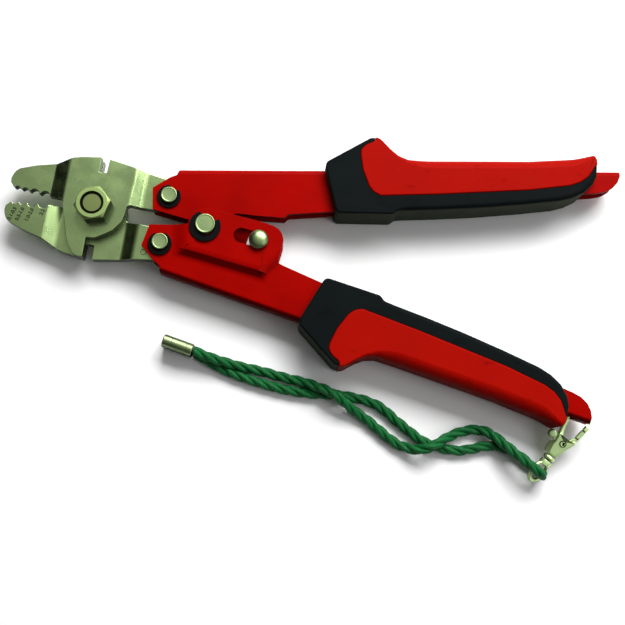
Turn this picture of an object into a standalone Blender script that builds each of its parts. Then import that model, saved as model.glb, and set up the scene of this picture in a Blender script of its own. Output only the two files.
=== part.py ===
"""Compound-leverage fishing pliers with a rope lanyard on a trigger snap.

The pliers lie flat, open against their stop. The origin is on the jaw pivot at the level of the
bolt head's face, +X runs from the jaws to the handles, +Y to the upper handle and +Z to the nut.
Numbers are millimetres until a mesh is made, which takes metres.
"""

import math

import bmesh
import bpy
from mathutils import Matrix, Vector

MM = 0.001

# Linkage: jaw pivot at the origin, a toggle pin on each side, and the pin that joins the handles.
TOGGLE_X, TOGGLE_Y = 28.8, 9.85
HANDLE_PIVOT_X = 45.6
JAW_SWING = math.radians(5.3)  # each jaw's turn from open to closed

# Heights of the stacked plates.
MID_Z = 9.0
TOTAL_Z = 2 * MID_Z
JAW_THICK = 4.4
JAW_STACK_GAP = 0.3  # between the two jaws where they cross
JAW_STEP = (JAW_THICK + JAW_STACK_GAP) / 2  # the joggle from the crossing to the tip and the tail
WALL = 1.8
CHANNEL_TOP = 13.3
EAR_RAISE = 2.1  # the lower handle's ears stand outside the upper handle's walls
EAR_TOP = CHANNEL_TOP + EAR_RAISE

# Fasteners.
BOLT_R, BOLT_HOLE_R, BOLT_END_Z = 3.95, 4.1, 19.7
HEX_FLATS, BOLT_HEAD_Z, NUT_LOW, NUT_HIGH = 13.0, 4.3, 13.7, 20.2
HEX_TURN = math.radians(17.4)
TOGGLE_R, PIVOT_R, PIN_CLEARANCE = 3.1, 3.8, 0.15
OPEN_PIVOT_CLEARANCE = 0.45  # the linkage's loop is opened at the upper toggle pin

# Channels, in a handle's own frame: origin on the handle pivot, X along it, Y outwards.
WEB_FRONT = (-11.1, 24.0)
WEB_REAR = (171.9, 25.5)
PIVOT_EAR_R, LOCK_EAR_R = 6.5, 7.0
SLOT_INNER, SLOT_OUTER, SLOT_R = (15.0, -0.7), (22.4, -1.15), 3.05

# Lanyard.
ROPE_R = 2.1
SNAP_RING = (168.0, 24.4)  # centre of the snap's ring, in the lower handle's frame
SNAP_HEADING, SNAP_DIP = math.radians(-120.1), math.radians(11.4)
RING_R, RING_HALF = 4.4, 1.2
SWIVEL_OFFSET = 0.7
EYE_ROLL = math.radians(-42)


def material(name, rgb, roughness, metallic=0.0):
    made = bpy.data.materials.new(name)
    made.use_nodes = True
    shader = made.node_tree.nodes["Principled BSDF"]
    shader.inputs["Base Color"].default_value = (*rgb, 1.0)
    shader.inputs["Roughness"].default_value = roughness
    shader.inputs["Metallic"].default_value = metallic
    return made


def handle_swing():
    """The turn of each handle that turns each jaw by JAW_SWING."""
    jaw_arm = math.hypot(TOGGLE_X, TOGGLE_Y)
    link = math.hypot(HANDLE_PIVOT_X - TOGGLE_X, TOGGLE_Y)
    closed_y = jaw_arm * math.sin(math.atan2(TOGGLE_Y, TOGGLE_X) + JAW_SWING)
    return math.asin(closed_y / link) - math.asin(TOGGLE_Y / link)


def arc(centre, radius, start, end, steps):
    """Points on an arc from start to end, in degrees, both ends included."""
    turns = [math.radians(start + (end - start) * i / steps) for i in range(steps + 1)]
    return [(centre[0] + radius * math.cos(a), centre[1] + radius * math.sin(a)) for a in turns]


def turned_point(point, angle):
    x, y = point
    return (x * math.cos(angle) - y * math.sin(angle), x * math.sin(angle) + y * math.cos(angle))


def grown(outline, distance):
    """The counter-clockwise outline moved outwards by distance."""
    moved = []
    for i, here in enumerate(outline):
        before, after = Vector(outline[i - 1]), Vector(outline[(i + 1) % len(outline)])
        first, second = (Vector(here) - before).normalized(), (after - Vector(here)).normalized()
        out_a, out_b = Vector((first.y, -first.x)), Vector((second.y, -second.x))
        middle = (out_a + out_b).normalized()
        moved.append(tuple(Vector(here) + middle * distance / max(middle.dot(out_a), 0.4)))
    return moved


def new_object(name, bm, finish=None, parent=None, at=(0, 0, 0), smooth=False):
    bmesh.ops.recalc_face_normals(bm, faces=bm.faces[:])
    bmesh.ops.scale(bm, vec=(MM, MM, MM), verts=bm.verts[:])
    mesh = bpy.data.meshes.new(name)
    bm.to_mesh(mesh)
    bm.free()
    made = bpy.data.objects.new(name, mesh)
    bpy.context.scene.collection.objects.link(made)
    made.location = Vector(at) * MM
    made.parent = parent
    if finish:
        mesh.materials.append(finish)
    if smooth:
        mesh.shade_smooth()
        mesh.set_sharp_from_angle(angle=math.radians(35))
    return made


def plate(outline, low, high, cuts=()):
    """An outline made into a plate between low(x, y) and high(x, y), or two plain heights.

    Each cut is a point and a normal. The plate gets an edge along it, where its slope may change.
    """
    bm = bmesh.new()
    bm.faces.new([bm.verts.new((x, y, 0)) for x, y in outline])
    for point, normal in cuts:
        bmesh.ops.bisect_plane(
            bm, geom=bm.verts[:] + bm.edges[:] + bm.faces[:], dist=1e-5,
            plane_co=(*point, 0), plane_no=(*normal, 0),
        )
    bottom = bm.verts[:]
    sheet = bmesh.ops.extrude_face_region(bm, geom=bm.faces[:])["geom"]
    for vert in [v for v in sheet if isinstance(v, bmesh.types.BMVert)]:
        vert.co.z = high(vert.co.x, vert.co.y) if callable(high) else high
    for vert in bottom:
        vert.co.z = low(vert.co.x, vert.co.y) if callable(low) else low
    return bm


def turned(profile, steps, along_x=False):
    """A solid of revolution about Z, or X, from (radius, height) points that start and end on it."""
    bm = bmesh.new()
    rings = []
    for radius, height in profile:
        if radius == 0:
            rings.append([bm.verts.new((0, 0, height))])
            continue
        spots = arc((0, 0), radius, 0, 360 * (steps - 1) / steps, steps - 1)
        rings.append([bm.verts.new((x, y, height)) for x, y in spots])
    for lower, upper in zip(rings, rings[1:]):
        for i in range(steps):
            j = (i + 1) % steps
            ends = [lower[i % len(lower)], lower[j % len(lower)]]
            ends += [upper[j % len(upper)], upper[i % len(upper)]]
            bm.faces.new(list(dict.fromkeys(ends)))
    if along_x:
        bmesh.ops.rotate(bm, matrix=Matrix.Rotation(math.pi / 2, 3, "Y"), verts=bm.verts[:])
    return bm


def ring_of(outer, inner, low, high, start, end, steps):
    """A flat ring sector, such as a retaining clip."""
    outline = arc((0, 0), outer, start, end, steps) + arc((0, 0), inner, end, start, steps)
    return plate(outline, low, high)


def boolean(target, cutter, operation="DIFFERENCE"):
    cutter.hide_render = True
    cutter.display_type = "WIRE"
    step = target.modifiers.new(cutter.name, "BOOLEAN")
    step.operation = operation
    step.solver = "EXACT"
    step.object = cutter
    return target


def drill(target, centre, radius, low, high, steps=32):
    """A round hole along Z through the target, in its parent's frame."""
    tool = plate(arc((0, 0), radius, 0, 360 * (steps - 1) / steps, steps - 1), low, high)
    cutter = new_object(target.name + "_hole", tool, parent=target.parent, at=(*centre, 0))
    return boolean(target, cutter)


def frame(name, at, heading=0.0, dip=0.0):
    empty = bpy.data.objects.new(name, None)
    bpy.context.scene.collection.objects.link(empty)
    empty.location = Vector(at) * MM
    empty.rotation_euler = (0, dip, heading)
    return empty


# ---------------------------------------------------------------- jaws

JAW_LANDS = (-19.0, -23.6, -27.9, -31.2, -34.2)  # tooth crests along the closed jaws
NEST_DEPTHS = (1.6, 1.4, 0.85, 0.75)
LAND = 0.7
TOOTH_GAP = 0.08
TIP_BEND = (-13.4, -19.0)  # where the joggle to the tip starts and ends
TAIL_BEND = (13.6, 18.2)


def nest(start, end, depth):
    """A round crimping nest between two lands, as an arc with the given depth."""
    half = abs(end - start) / 2
    radius = (half * half + depth * depth) / (2 * depth)
    spread = math.degrees(math.asin(min(1.0, half / radius)))
    centre = ((start + end) / 2, TOOTH_GAP + depth - radius)
    return arc(centre, radius, 90 - spread, 90 + spread, 7)


def jaw_outline():
    """The jaw seen from the nut side, open, without its holes."""
    bite = [(-13.6, TOOTH_GAP)]
    for near, far, depth in zip(JAW_LANDS, JAW_LANDS[1:], NEST_DEPTHS):
        bite += nest(near - LAND / 2, far + LAND / 2, depth)
    bite += [(JAW_LANDS[-1] - 0.4, TOOTH_GAP), (-36.3, 1.7), (-36.6, 3.4), (-36.3, 5.2), (-35.6, 6.9)]
    bite += [(-34.4, 8.2), (-28.3, 11.2), (-20.7, 13.8)]
    tip = [turned_point(point, -JAW_SWING) for point in bite]
    crown = [(-12.8, 18.8), (-9.1, 19.9), (-1.2, 21.1), (-1.2, 14.9)]
    crown += [(0.4, 14.6), (2.0, 14.9), (2.2, 20.8)]
    tail = [(6.0, 20.2), (13.1, 19.0), (27.6, TOGGLE_Y + 7.1)]
    tail += arc((TOGGLE_X, TOGGLE_Y), 6.8, 80, -70, 12)
    tail += [(22.9, 3.6), (13.9, 3.2), (12.8, 2.4)]
    lobe = [(12.6, -0.5), (11.7, -4.4), (8.95, -8.3), (5.6, -10.7), (2.5, -12.6), (-1.0, -12.9)]
    lobe += [(-0.9, -20.9), (-2.6, -21.2), (-4.8, -20.5), (-7.5, -17.2), (-9.1, -13.5)]
    lobe += [(-10.9, -7.6), (-12.6, -2.0)]
    return tip + crown + tail + lobe


def jaw_drop(x, _y):
    """How far the upper jaw's plate lies below its crossing: none there, one step at both ends."""
    tip = (TIP_BEND[0] - x) / (TIP_BEND[0] - TIP_BEND[1])
    tail = (x - TAIL_BEND[0]) / (TAIL_BEND[1] - TAIL_BEND[0])
    return JAW_STEP * max(0.0, min(1.0, max(tip, tail)))


def make_jaw(name, finish, pin_clearance, upper):
    """Both jaws are one pressing. The lower one is turned over about X."""
    low = MID_Z + JAW_STACK_GAP / 2 if upper else MID_Z - JAW_STACK_GAP / 2
    sign = 1 if upper else -1
    outline = [(x, sign * y) for x, y in jaw_outline()]
    ends = sorted((low, low + sign * JAW_THICK))
    cuts = [((x, 0), (1, 0)) for x in TIP_BEND + TAIL_BEND]
    bm = plate(
        outline,
        lambda x, y: ends[0] - sign * jaw_drop(x, y),
        lambda x, y: ends[1] - sign * jaw_drop(x, y),
        cuts,
    )
    pivot = (0, 0) if upper else (TOGGLE_X, -TOGGLE_Y)
    bmesh.ops.translate(bm, vec=(-pivot[0], -pivot[1], 0), verts=bm.verts[:])
    jaw = new_object(name, bm, finish, at=(*pivot, 0))
    drill(jaw, (0, 0), BOLT_HOLE_R, 0, TOTAL_Z)
    drill(jaw, (TOGGLE_X, sign * TOGGLE_Y), TOGGLE_R + pin_clearance, 0, TOTAL_Z)
    return jaw


def hexagon(flats):
    return arc((0, 0), flats / math.sqrt(3), math.degrees(HEX_TURN), math.degrees(HEX_TURN) + 300, 5)


def make_bolt(finish):
    head_r = HEX_FLATS / 2
    profile = [(0, 0), (head_r - 0.2, 0), (head_r + 1.2, 0.8)]
    profile += [(head_r + 1.2, BOLT_HEAD_Z), (0, BOLT_HEAD_Z)]
    head = new_object("pivot_bolt", plate(hexagon(HEX_FLATS), 0, BOLT_HEAD_Z), finish)
    boolean(head, new_object("bolt_chamfer", turned(profile, 36)), "INTERSECT")
    shank = [(0, 2), (BOLT_R, 2), (BOLT_R, BOLT_END_Z - 0.9), (BOLT_R - 0.9, BOLT_END_Z), (0, BOLT_END_Z)]
    return boolean(head, new_object("bolt_shank", turned(shank, 36)), "UNION")


def make_nut(finish):
    side = HEX_FLATS / 2
    chamfer = [(0, NUT_LOW), (side + 0.6, NUT_LOW), (side + 1.2, NUT_LOW + 0.5)]
    chamfer += [(side + 1.2, NUT_HIGH - 0.9), (side - 0.2, NUT_HIGH), (0, NUT_HIGH)]
    nut = new_object("pivot_nut", plate(hexagon(HEX_FLATS), NUT_LOW, NUT_HIGH), finish)
    boolean(nut, new_object("nut_chamfer", turned(chamfer, 36)), "INTERSECT")
    bore = [(0, NUT_LOW - 1), (BOLT_HOLE_R, NUT_LOW - 1), (BOLT_HOLE_R, NUT_HIGH - 0.9)]
    bore += [(BOLT_HOLE_R + 1.1, NUT_HIGH + 0.2), (0, NUT_HIGH + 0.2)]
    return boolean(nut, new_object("nut_bore", turned(bore, 36)))


# ---------------------------------------------------------------- handles

# Lower edge of a channel, from where the grip covers it to the rounded tab at its end.
BURIED_EDGE = [(52.0, 6.6), (60.0, 8.6), (130.0, 12.0), (152.0, 14.6), (156.0, 15.3)]
TAB_END = [(161.2, 15.7), (165.2, 16.4), (168.4, 18.1), (170.5, 20.4), (171.6, 22.9), WEB_REAR]
NOSE = [WEB_FRONT, (-12.1, 21.5), (-15.1, 20.3), (-21.8, 16.0), (-21.6, 6.8)]

# The raised ear's sloped border: for each side a point on its foot, the way up it, and its width.
EAR_SLOPES = (
    ((-12.3, 4.4), (0.937, -0.348), 4.8),
    ((13.0, 14.4), (-0.047, -0.999), 4.0),
    ((34.5, 3.8), (-0.91, -0.414), 3.5),
)


def web_y(x):
    rise = (WEB_REAR[1] - WEB_FRONT[1]) / (WEB_REAR[0] - WEB_FRONT[0])
    return WEB_FRONT[1] + rise * (x - WEB_FRONT[0])


def climb(slope, x, y):
    """How far up one of the ear's slopes a point is: 0 at its foot and 1 at its top."""
    (px, py), (nx, ny), width = slope
    return ((x - px) * nx + (y - py) * ny) / width


def ear_lift(x, y):
    return EAR_RAISE * max(0.0, min(1.0, *(climb(slope, x, y) for slope in EAR_SLOPES)))


def ear_cuts():
    """Lines along which the ear's surface bends: each slope's foot and top, and the two mitres."""
    cuts = []
    for (px, py), (nx, ny), width in EAR_SLOPES:
        cuts += [((px, py), (nx, ny)), ((px + nx * width, py + ny * width), (nx, ny))]
    for first, second in zip(EAR_SLOPES, EAR_SLOPES[1:]):
        normal = Vector(first[1]) / first[2] - Vector(second[1]) / second[2]
        offset = climb(first, 0, 0) - climb(second, 0, 0)
        cuts.append((tuple(-normal * offset / normal.length_squared), tuple(normal)))
    return cuts


def mirrored(points, side):
    """Points of a handle's frame, with Y outwards, as seen in the world: side is 1 or -1."""
    return [(x, side * y) for x, y in points]


def make_channel(name, finish, parent, side):
    ear = side < 0
    if ear:
        lower = [(-8.2, 2.5)] + arc((0, 0), LOCK_EAR_R, 165, 262, 9)
        lower += [(18.9, -8.6), (23.7, -8.8)] + arc((25.6, -2.2), 6.6, -80, 0, 6)
        lower += [(32.5, 3.9), (33.2, 4.9)]
    else:
        lower = [(-7.9, 2.8)] + arc((0, 0), PIVOT_EAR_R, 155, 390, 16) + [(12.8, 5.4), (20.2, 4.5)]
        lower += [(31.9, 3.7), (33.6, 5.2)]
    outline = NOSE[1:] + lower + BURIED_EDGE + TAB_END + [WEB_FRONT]
    inside = [(-40, -30), (190, -30), (190, web_y(190) - WALL), (-40, web_y(-40) - WALL)]
    cuts = [((x, side * y), (nx, side * ny)) for (x, y), (nx, ny) in ear_cuts()] if ear else ()

    def lift(x, y):
        return ear_lift(x, side * y) if ear else 0.0

    def top(x, y):
        return CHANNEL_TOP + lift(x, y)

    def bottom(x, y):
        return TOTAL_Z - CHANNEL_TOP - lift(x, y)

    def inner_top(x, y):
        return top(x, y) - WALL

    def inner_bottom(x, y):
        return bottom(x, y) + WALL

    channel = new_object(name, plate(mirrored(outline, side), bottom, top, cuts), finish, parent)
    hollow = plate(mirrored(inside, side), inner_bottom, inner_top, cuts)
    boolean(channel, new_object(name + "_inside", hollow, parent=parent))
    swung = turned_point((TOGGLE_X - HANDLE_PIVOT_X, TOGGLE_Y), -handle_swing())
    drill(channel, (swung[0], side * swung[1]), TOGGLE_R + PIN_CLEARANCE, 0, TOTAL_Z)
    drill(channel, (0, 0), PIVOT_R + PIN_CLEARANCE, 0, TOTAL_Z, 40)
    if ear:
        track = arc(SLOT_INNER, SLOT_R, 86, 266, 10) + arc(SLOT_OUTER, SLOT_R, -94, 86, 10)
        slot = plate(mirrored(track, side), CHANNEL_TOP - 1.0, EAR_TOP + 1)
        boolean(channel, new_object("lock_slot", slot, parent=parent))
        for label, near, far in (("snap_slot", 161.3, 165.4), ("snap_notch", 169.8, 175.0)):
            window = plate(mirrored([(near, 20), (far, 20), (far, 28), (near, 28)], side), 6.5, 11.5)
            boolean(channel, new_object(label, window, parent=parent))
    return channel


def make_pin(name, finish, parent, at, radius, head_r, low, head_thick, groove, high):
    """A headed pin with a groove for its clip; groove is the height of the groove's two sides."""
    neck = radius - 0.45
    profile = [(0, low), (head_r - 0.3, low), (head_r, low + 0.3), (head_r, low + head_thick)]
    profile += [(radius, low + head_thick), (radius, groove[0]), (neck, groove[0])]
    profile += [(neck, groove[1]), (radius, groove[1])]
    profile += [(radius, high - 0.4), (radius - 0.4, high), (0, high)]
    return new_object(name, turned(profile, 28), finish, parent, at, smooth=True)


def make_clip(name, finish, parent, at, outer, inner, groove, opening):
    """An E-clip, pushed on from one side: opening is the direction of its gap in degrees."""
    gap = 0.08
    half = 52
    start, end = opening + half, opening + 360 - half
    made = ring_of(outer, inner, groove[0] + gap, groove[1] - gap, start, end, 18)
    return new_object(name, made, finish, parent, at)


def make_lock(button_finish, washer_finish, parent, side):
    at = (SLOT_OUTER[0], side * SLOT_OUTER[1], 0)
    low, shoulder, seat, top = 6.9, 13.3, EAR_TOP + 0.25, 18.6
    rim = seat + 0.9
    dome = [(4.0 * math.cos(a), rim + (top - rim) * math.sin(a)) for a in (0.0, 0.45, 0.9, 1.25)]
    profile = [(0, low), (1.5, low), (1.8, low + 0.4), (1.8, shoulder)]
    profile += [(2.75, shoulder), (2.75, seat), (3.7, seat)] + dome + [(0, top)]
    new_object("lock_button", turned(profile, 28), button_finish, parent, at, smooth=True)
    strip = [(-4.4, side * -2.55), (4.4, side * -2.55), (4.4, side * 4.4), (-4.4, side * 4.4)]
    washer = new_object("lock_button_washer", plate(strip, 12.25, 13.15), washer_finish, parent, at)
    bore = plate(arc((0, 0), 1.95, 0, 345, 23), 11, 15)
    boolean(washer, new_object("washer_bore", bore, parent=parent, at=at))


def make_spring(finish, swing):
    """A torsion spring round the handle pivot pin, with one leg on each handle's web."""
    wire, mean_r, turns, low = 0.6, 5.6, 2, 7.35
    reach, lean = 27.0, math.radians(35)
    points = []
    start = math.radians(-90) - swing - lean
    end = math.radians(90 - 360 * (turns + 1)) + swing + lean
    steps = 44
    for i in range(steps + 1):
        a = start + (end - start) * i / steps
        height = low + (TOTAL_Z - 2 * low) * i / steps
        points.append(Vector((mean_r * math.cos(a), mean_r * math.sin(a), height)))
    tangent_in = Vector((-math.sin(start), math.cos(start), 0))
    tangent_out = Vector((math.sin(end), -math.cos(end), 0))
    points = [points[0] + tangent_in * reach] + points + [points[-1] + tangent_out * reach]
    curve = bpy.data.curves.new("opening_spring", "CURVE")
    curve.dimensions = "3D"
    curve.bevel_depth = wire * MM
    curve.bevel_resolution = 1
    curve.use_fill_caps = True
    line = curve.splines.new("POLY")
    line.points.add(len(points) - 1)
    for spot, point in zip(line.points, points):
        spot.co = (*(point * MM), 1)
    curve.materials.append(finish)
    made = bpy.data.objects.new("opening_spring", curve)
    bpy.context.scene.collection.objects.link(made)
    made.location = Vector((HANDLE_PIVOT_X, 0, 0)) * MM
    return made


# ---------------------------------------------------------------- grips

GRIP_INNER_EDGE = [(52.9, 4.8), (76.0, 4.6), (78.2, 6.2), (95.2, 6.8), (112.0, 7.8), (130.0, 9.4)]
GRIP_END = [(145.0, 11.2), (150.2, 12.7), (155.0, 15.2), (158.6, 18.9), (160.2, 22.2)]
GRIP_TIP = [(160.6, 26.0), (160.0, 29.0), (158.5, 30.2)]
GRIP_BACK = [(155.0, 29.8), (133.0, 28.5), (82.5, 28.0), (78.4, 29.4), (75.0, 32.2), (71.6, 35.9)]
GRIP_COLLAR = [(70.0, 36.9), (67.2, 37.0), (49.1, 26.6), (48.5, 24.3)]
INLAY_INNER_EDGE = [(70.9, 12.2), (95.3, 13.1), (132.5, 15.0), (150.1, 17.0), (154.0, 18.3), (157.4, 20.6)]
INLAY_END = [(159.4, 23.4), (163.0, 25.1), (163.0, 45.0), (70.0, 45.0), (69.2, 35.6)]
INLAY_FRONT = [(65.2, 33.9), (63.2, 31.9), (62.9, 29.6), (63.8, 23.1), (66.3, 16.0), (68.1, 13.7)]
GRIP_ROUND = 2.4
SEAM = 0.12
POCKET_GAP = 0.2


def make_grip(name, finish, parent, side):
    outline = GRIP_INNER_EDGE + GRIP_END + GRIP_TIP + GRIP_BACK + GRIP_COLLAR
    grip = new_object(name, plate(mirrored(outline, side), 0, TOTAL_Z), finish, parent)
    rounding = grip.modifiers.new("rounding", "BEVEL")
    rounding.width = GRIP_ROUND * MM
    rounding.segments = 2
    rounding.limit_method = "ANGLE"
    rounding.angle_limit = math.radians(60)
    return grip


def add_grips(label, base_finish, inlay_finish, parent, side):
    """The moulded grip: a black base and a red inlay on its outer side, over the channel."""
    base = make_grip(label + "_grip_base", base_finish, parent, side)
    inlay = make_grip(label + "_grip_inlay", inlay_finish, parent, side)
    region = INLAY_INNER_EDGE + INLAY_END + INLAY_FRONT
    low, high = -2, TOTAL_Z + 2
    wide = plate(mirrored(grown(region, SEAM), side), low, high)
    boolean(base, new_object(label + "_inlay_space", wide, parent=parent))
    narrow = plate(mirrored(region, side), low, high)
    boolean(inlay, new_object(label + "_inlay_region", narrow, parent=parent), "INTERSECT")
    edge = [(x, y - POCKET_GAP) for x, y in [(40.0, 6.6)] + BURIED_EDGE + [(176.0, 17.0)]]
    pocket = edge + [(176.0, web_y(176.0) + POCKET_GAP), (40.0, web_y(40.0) + POCKET_GAP)]
    bottom, top = TOTAL_Z - CHANNEL_TOP - POCKET_GAP, CHANNEL_TOP + POCKET_GAP
    for grip in (base, inlay):
        space = new_object(grip.name + "_pocket", plate(mirrored(pocket, side), bottom, top), parent=parent)
        boolean(grip, space)


# ---------------------------------------------------------------- snap, in its own frame
# X runs from the ring's centre to the swivel, Y to the gate's side, and Z up.

RIVET_AT = (12.0, 1.0)
NECK_X = 18.8


def make_snap_body(finish, parent):
    outer, inner = RING_R + RING_HALF, RING_R - RING_HALF
    left = [(0.0, -outer), (5.0, -5.1), (9.0, -3.9), (13.2, -2.8), (NECK_X, -1.3), (NECK_X, 2.7)]
    right = [(8.6, 5.0), (7.6, 4.4), (7.9, 3.4), (9.3, 2.6), (9.7, 0.2), (9.0, -1.2)]
    right += [(5.0, -2.8), (0.0, -inner)]
    outline = left + right + arc((0, 0), inner, -95, -268, 14) + arc((0, 0), outer, -268, -95, 16)
    body = new_object("snap_hook_body", plate(outline, -1.2, 1.2), finish, parent)
    block = [(8.7, -4.0), (13.2, -2.9), (NECK_X, -1.4), (NECK_X, 2.8), (8.5, 5.1), (7.5, 4.4), (7.8, 3.3)]
    block += [(9.2, 2.5), (9.6, 0.2), (8.9, -1.3)]
    boolean(body, new_object("snap_block", plate(block, -2.0, 2.0), parent=parent), "UNION")
    space = [(0.3, 2.6), (0.3, 9.0), (12.0, 9.0), (14.0, 3.4), (14.2, 0.6), (14.2, -9.0), (8.6, -9.0)]
    space += [(9.2, -3.0), (9.8, -0.4), (8.6, 1.6)]
    boolean(body, new_object("snap_gate_space", plate(space, -1.0, 1.0), parent=parent))
    drill(body, RIVET_AT, 0.95, -4, 4, 16)
    window = [(14.9, SWIVEL_OFFSET - 1.75), (16.9, SWIVEL_OFFSET - 1.75)]
    window += [(16.9, SWIVEL_OFFSET + 1.75), (14.9, SWIVEL_OFFSET + 1.75)]
    boolean(body, new_object("swivel_window", plate(window, -4, 4), parent=parent))
    bore = new_object(
        "swivel_bore", turned([(0, 16.0), (1.1, 16.0), (1.1, 24.0), (0, 24.0)], 16, along_x=True),
        parent=parent, at=(0, SWIVEL_OFFSET, 0),
    )
    return boolean(body, bore)


def make_gate(finish, parent):
    """The sprung arm that closes the ring, and the thumb lever on its other side, in one piece."""
    x, y = RIVET_AT
    shape = [(0.75, 3.3), (7.2, 3.3), (9.3, 2.0), (10.2, 0.2), (9.9, -3.0), (9.9, -5.6), (13.0, -5.6)]
    shape += [(13.1, -2.8), (13.9, -0.2), (13.8, 1.6), (12.0, 3.3), (8.0, 5.3), (0.75, 5.5)]
    outline = [(a - x, b - y) for a, b in shape]
    gate = new_object("snap_gate", plate(outline, -0.8, 0.8), finish, parent, (x, y, 0))
    drill(gate, RIVET_AT, 0.95, -4, 4, 16)
    knob = turned([(0, -2.2), (1.3, -2.2), (1.75, -1.7), (1.75, 1.7), (1.3, 2.2), (0, 2.2)], 20)
    return boolean(gate, new_object("gate_knob", knob, parent=parent, at=(11.4, -5.4, 0)), "UNION")


def make_swivel(finish, parent):
    """The barrel with its post in the body, and the oval eye for the rope."""
    post = [(0, 15.3), (1.5, 15.3), (1.5, 16.2), (0.9, 16.2), (0.9, 19.1), (1.7, 19.1), (2.0, 19.4)]
    post += [(2.0, 22.2), (1.4, 22.8), (0, 22.8)]
    eye = new_object("swivel_eye", turned(post, 20, along_x=True), finish, parent, (0, SWIVEL_OFFSET, 0))
    curve = bmesh.new()
    long_r, wide_r, wire, across = 4.4, 3.9, 0.7, 8
    rings = []
    steps = 28
    for i in range(steps):
        a = math.tau * i / steps
        spot = Vector((26.8 + long_r * math.cos(a), wide_r * math.sin(a), 0))
        out = Vector((math.cos(a) / long_r, math.sin(a) / wide_r, 0)).normalized()
        turn = [math.tau * j / across for j in range(across)]
        around = [out * math.cos(b) + Vector((0, 0, math.sin(b))) for b in turn]
        rings.append([curve.verts.new(spot + wire * aside) for aside in around])
    for i in range(steps):
        near, far = rings[i], rings[(i + 1) % steps]
        for j in range(across):
            k = (j + 1) % across
            curve.faces.new([near[j], near[k], far[k], far[j]])
    loop = new_object("eye_loop", curve, parent=parent, at=(0, SWIVEL_OFFSET, 0))
    loop.rotation_euler = (EYE_ROLL, 0, 0)
    return boolean(eye, loop, "UNION")


def make_rivet(finish, parent):
    profile = [(0, -2.6), (1.1, -2.6), (1.5, -2.2), (0.8, -2.1)]
    profile += [(0.8, 2.1), (1.5, 2.2), (1.1, 2.6), (0, 2.6)]
    return new_object("snap_rivet", turned(profile, 16), finish, parent, (*RIVET_AT, 0), smooth=True)


# ---------------------------------------------------------------- rope

# The doubled rope from the ferrule's end through the eye and back, chosen by hand: x, y, z.
ROPE_ROUTE = [
    (49.6, -50.3, 6.7), (57.9, -51.9, 5.6), (67.9, -52.9, 3.2), (77.8, -53.4, 2.4), (88.0, -54.4, 2.3),
    (97.0, -55.2, 3.6), (104.8, -56.9, 6.2), (109.5, -58.6, 6.9), (113.5, -60.9, 5.6), (118.0, -63.2, 3.2),
    (123.7, -65.9, 2.3), (134.5, -72.2, 2.3), (140.0, -74.0, 2.8), (145.2, -74.3, 5.2), (149.2, -72.9, 6.9),
    (152.6, -70.6, 6.2), (156.6, -67.4, 3.4), (161.0, -64.6, 2.3), (166.0, -62.6, 2.3), (170.5, -62.2, 3.2),
    (175.0, -63.9, 5.2), (183.9, -69.5, 8.3), (188.2, -72.1, 9.3), (191.4, -74.0, 9.5), (194.1, -75.5, 8.8),
    (195.9, -76.1, 7.0), (196.0, -75.7, 4.9), (195.0, -74.7, 3.1), (192.6, -73.1, 2.2), (184.8, -68.9, 2.2),
    (175.0, -67.6, 2.2), (161.6, -71.8, 2.2), (148.6, -70.9, 2.2), (136.8, -65.0, 2.2), (126.0, -59.0, 2.2),
    (112.0, -57.6, 2.2), (96.0, -59.2, 2.2), (80.0, -58.4, 2.2), (64.0, -55.6, 2.2), (49.6, -50.6, 2.2),
]
ROPE_POINTS = 79


def catmull_rom(route, count):
    """Evenly numbered points on a smooth curve through the route's points."""
    spots = [Vector(point) for point in route]
    ends = [2 * spots[0] - spots[1]] + spots + [2 * spots[-1] - spots[-2]]
    found = []
    for i in range(count):
        place = i * (len(spots) - 1) / (count - 1)
        k = min(int(place), len(spots) - 2)
        t = place - k
        a, b, c, d = ends[k : k + 4]
        square = (2 * a - 5 * b + 4 * c - d) * t * t
        cube = (3 * b - a - 3 * c + d) * t**3
        found.append(0.5 * (2 * b + (c - a) * t + square + cube))
    return found


def make_rope(finish):
    curve = bpy.data.curves.new("lanyard_rope", "CURVE")
    curve.dimensions = "3D"
    curve.bevel_depth = ROPE_R * MM
    curve.bevel_resolution = 2
    curve.use_fill_caps = True
    points = catmull_rom(ROPE_ROUTE, ROPE_POINTS)
    line = curve.splines.new("POLY")
    line.points.add(len(points) - 1)
    for spot, point in zip(line.points, points):
        spot.co = (*(point * MM), 1)
    curve.materials.append(finish)
    made = bpy.data.objects.new("lanyard_rope", curve)
    bpy.context.scene.collection.objects.link(made)
    return made


def make_ferrule(finish):
    """A crimped oval tube round both rope ends, open at its outer end."""
    start, end = Vector((36.8, -48.05)), Vector((49.05, -50.3))
    length = (end - start).length
    half, straight = 2.6, 4.5
    low = 2.65

    def oval(radius, steps):
        return arc((low, 0), radius, 90, 270, steps) + arc((low + straight, 0), radius, -90, 90, steps)

    heading = math.atan2(end.y - start.y, end.x - start.x)
    home = frame("ferrule_frame", (*start, 0), heading)
    body = plate(oval(half, 8), 0, length)
    recess = plate(oval(half - 0.7, 8), -1, 2.2)
    for bm in (body, recess):
        # Stand the oval up: its long side along Z and the tube along X.
        bmesh.ops.transform(bm, matrix=Matrix(((0, 0, 1), (0, 1, 0), (1, 0, 0))), verts=bm.verts[:])
    ferrule = new_object("lanyard_ferrule", body, finish, home)
    return boolean(ferrule, new_object("ferrule_recess", recess, parent=home))


# ---------------------------------------------------------------- assembly


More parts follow.
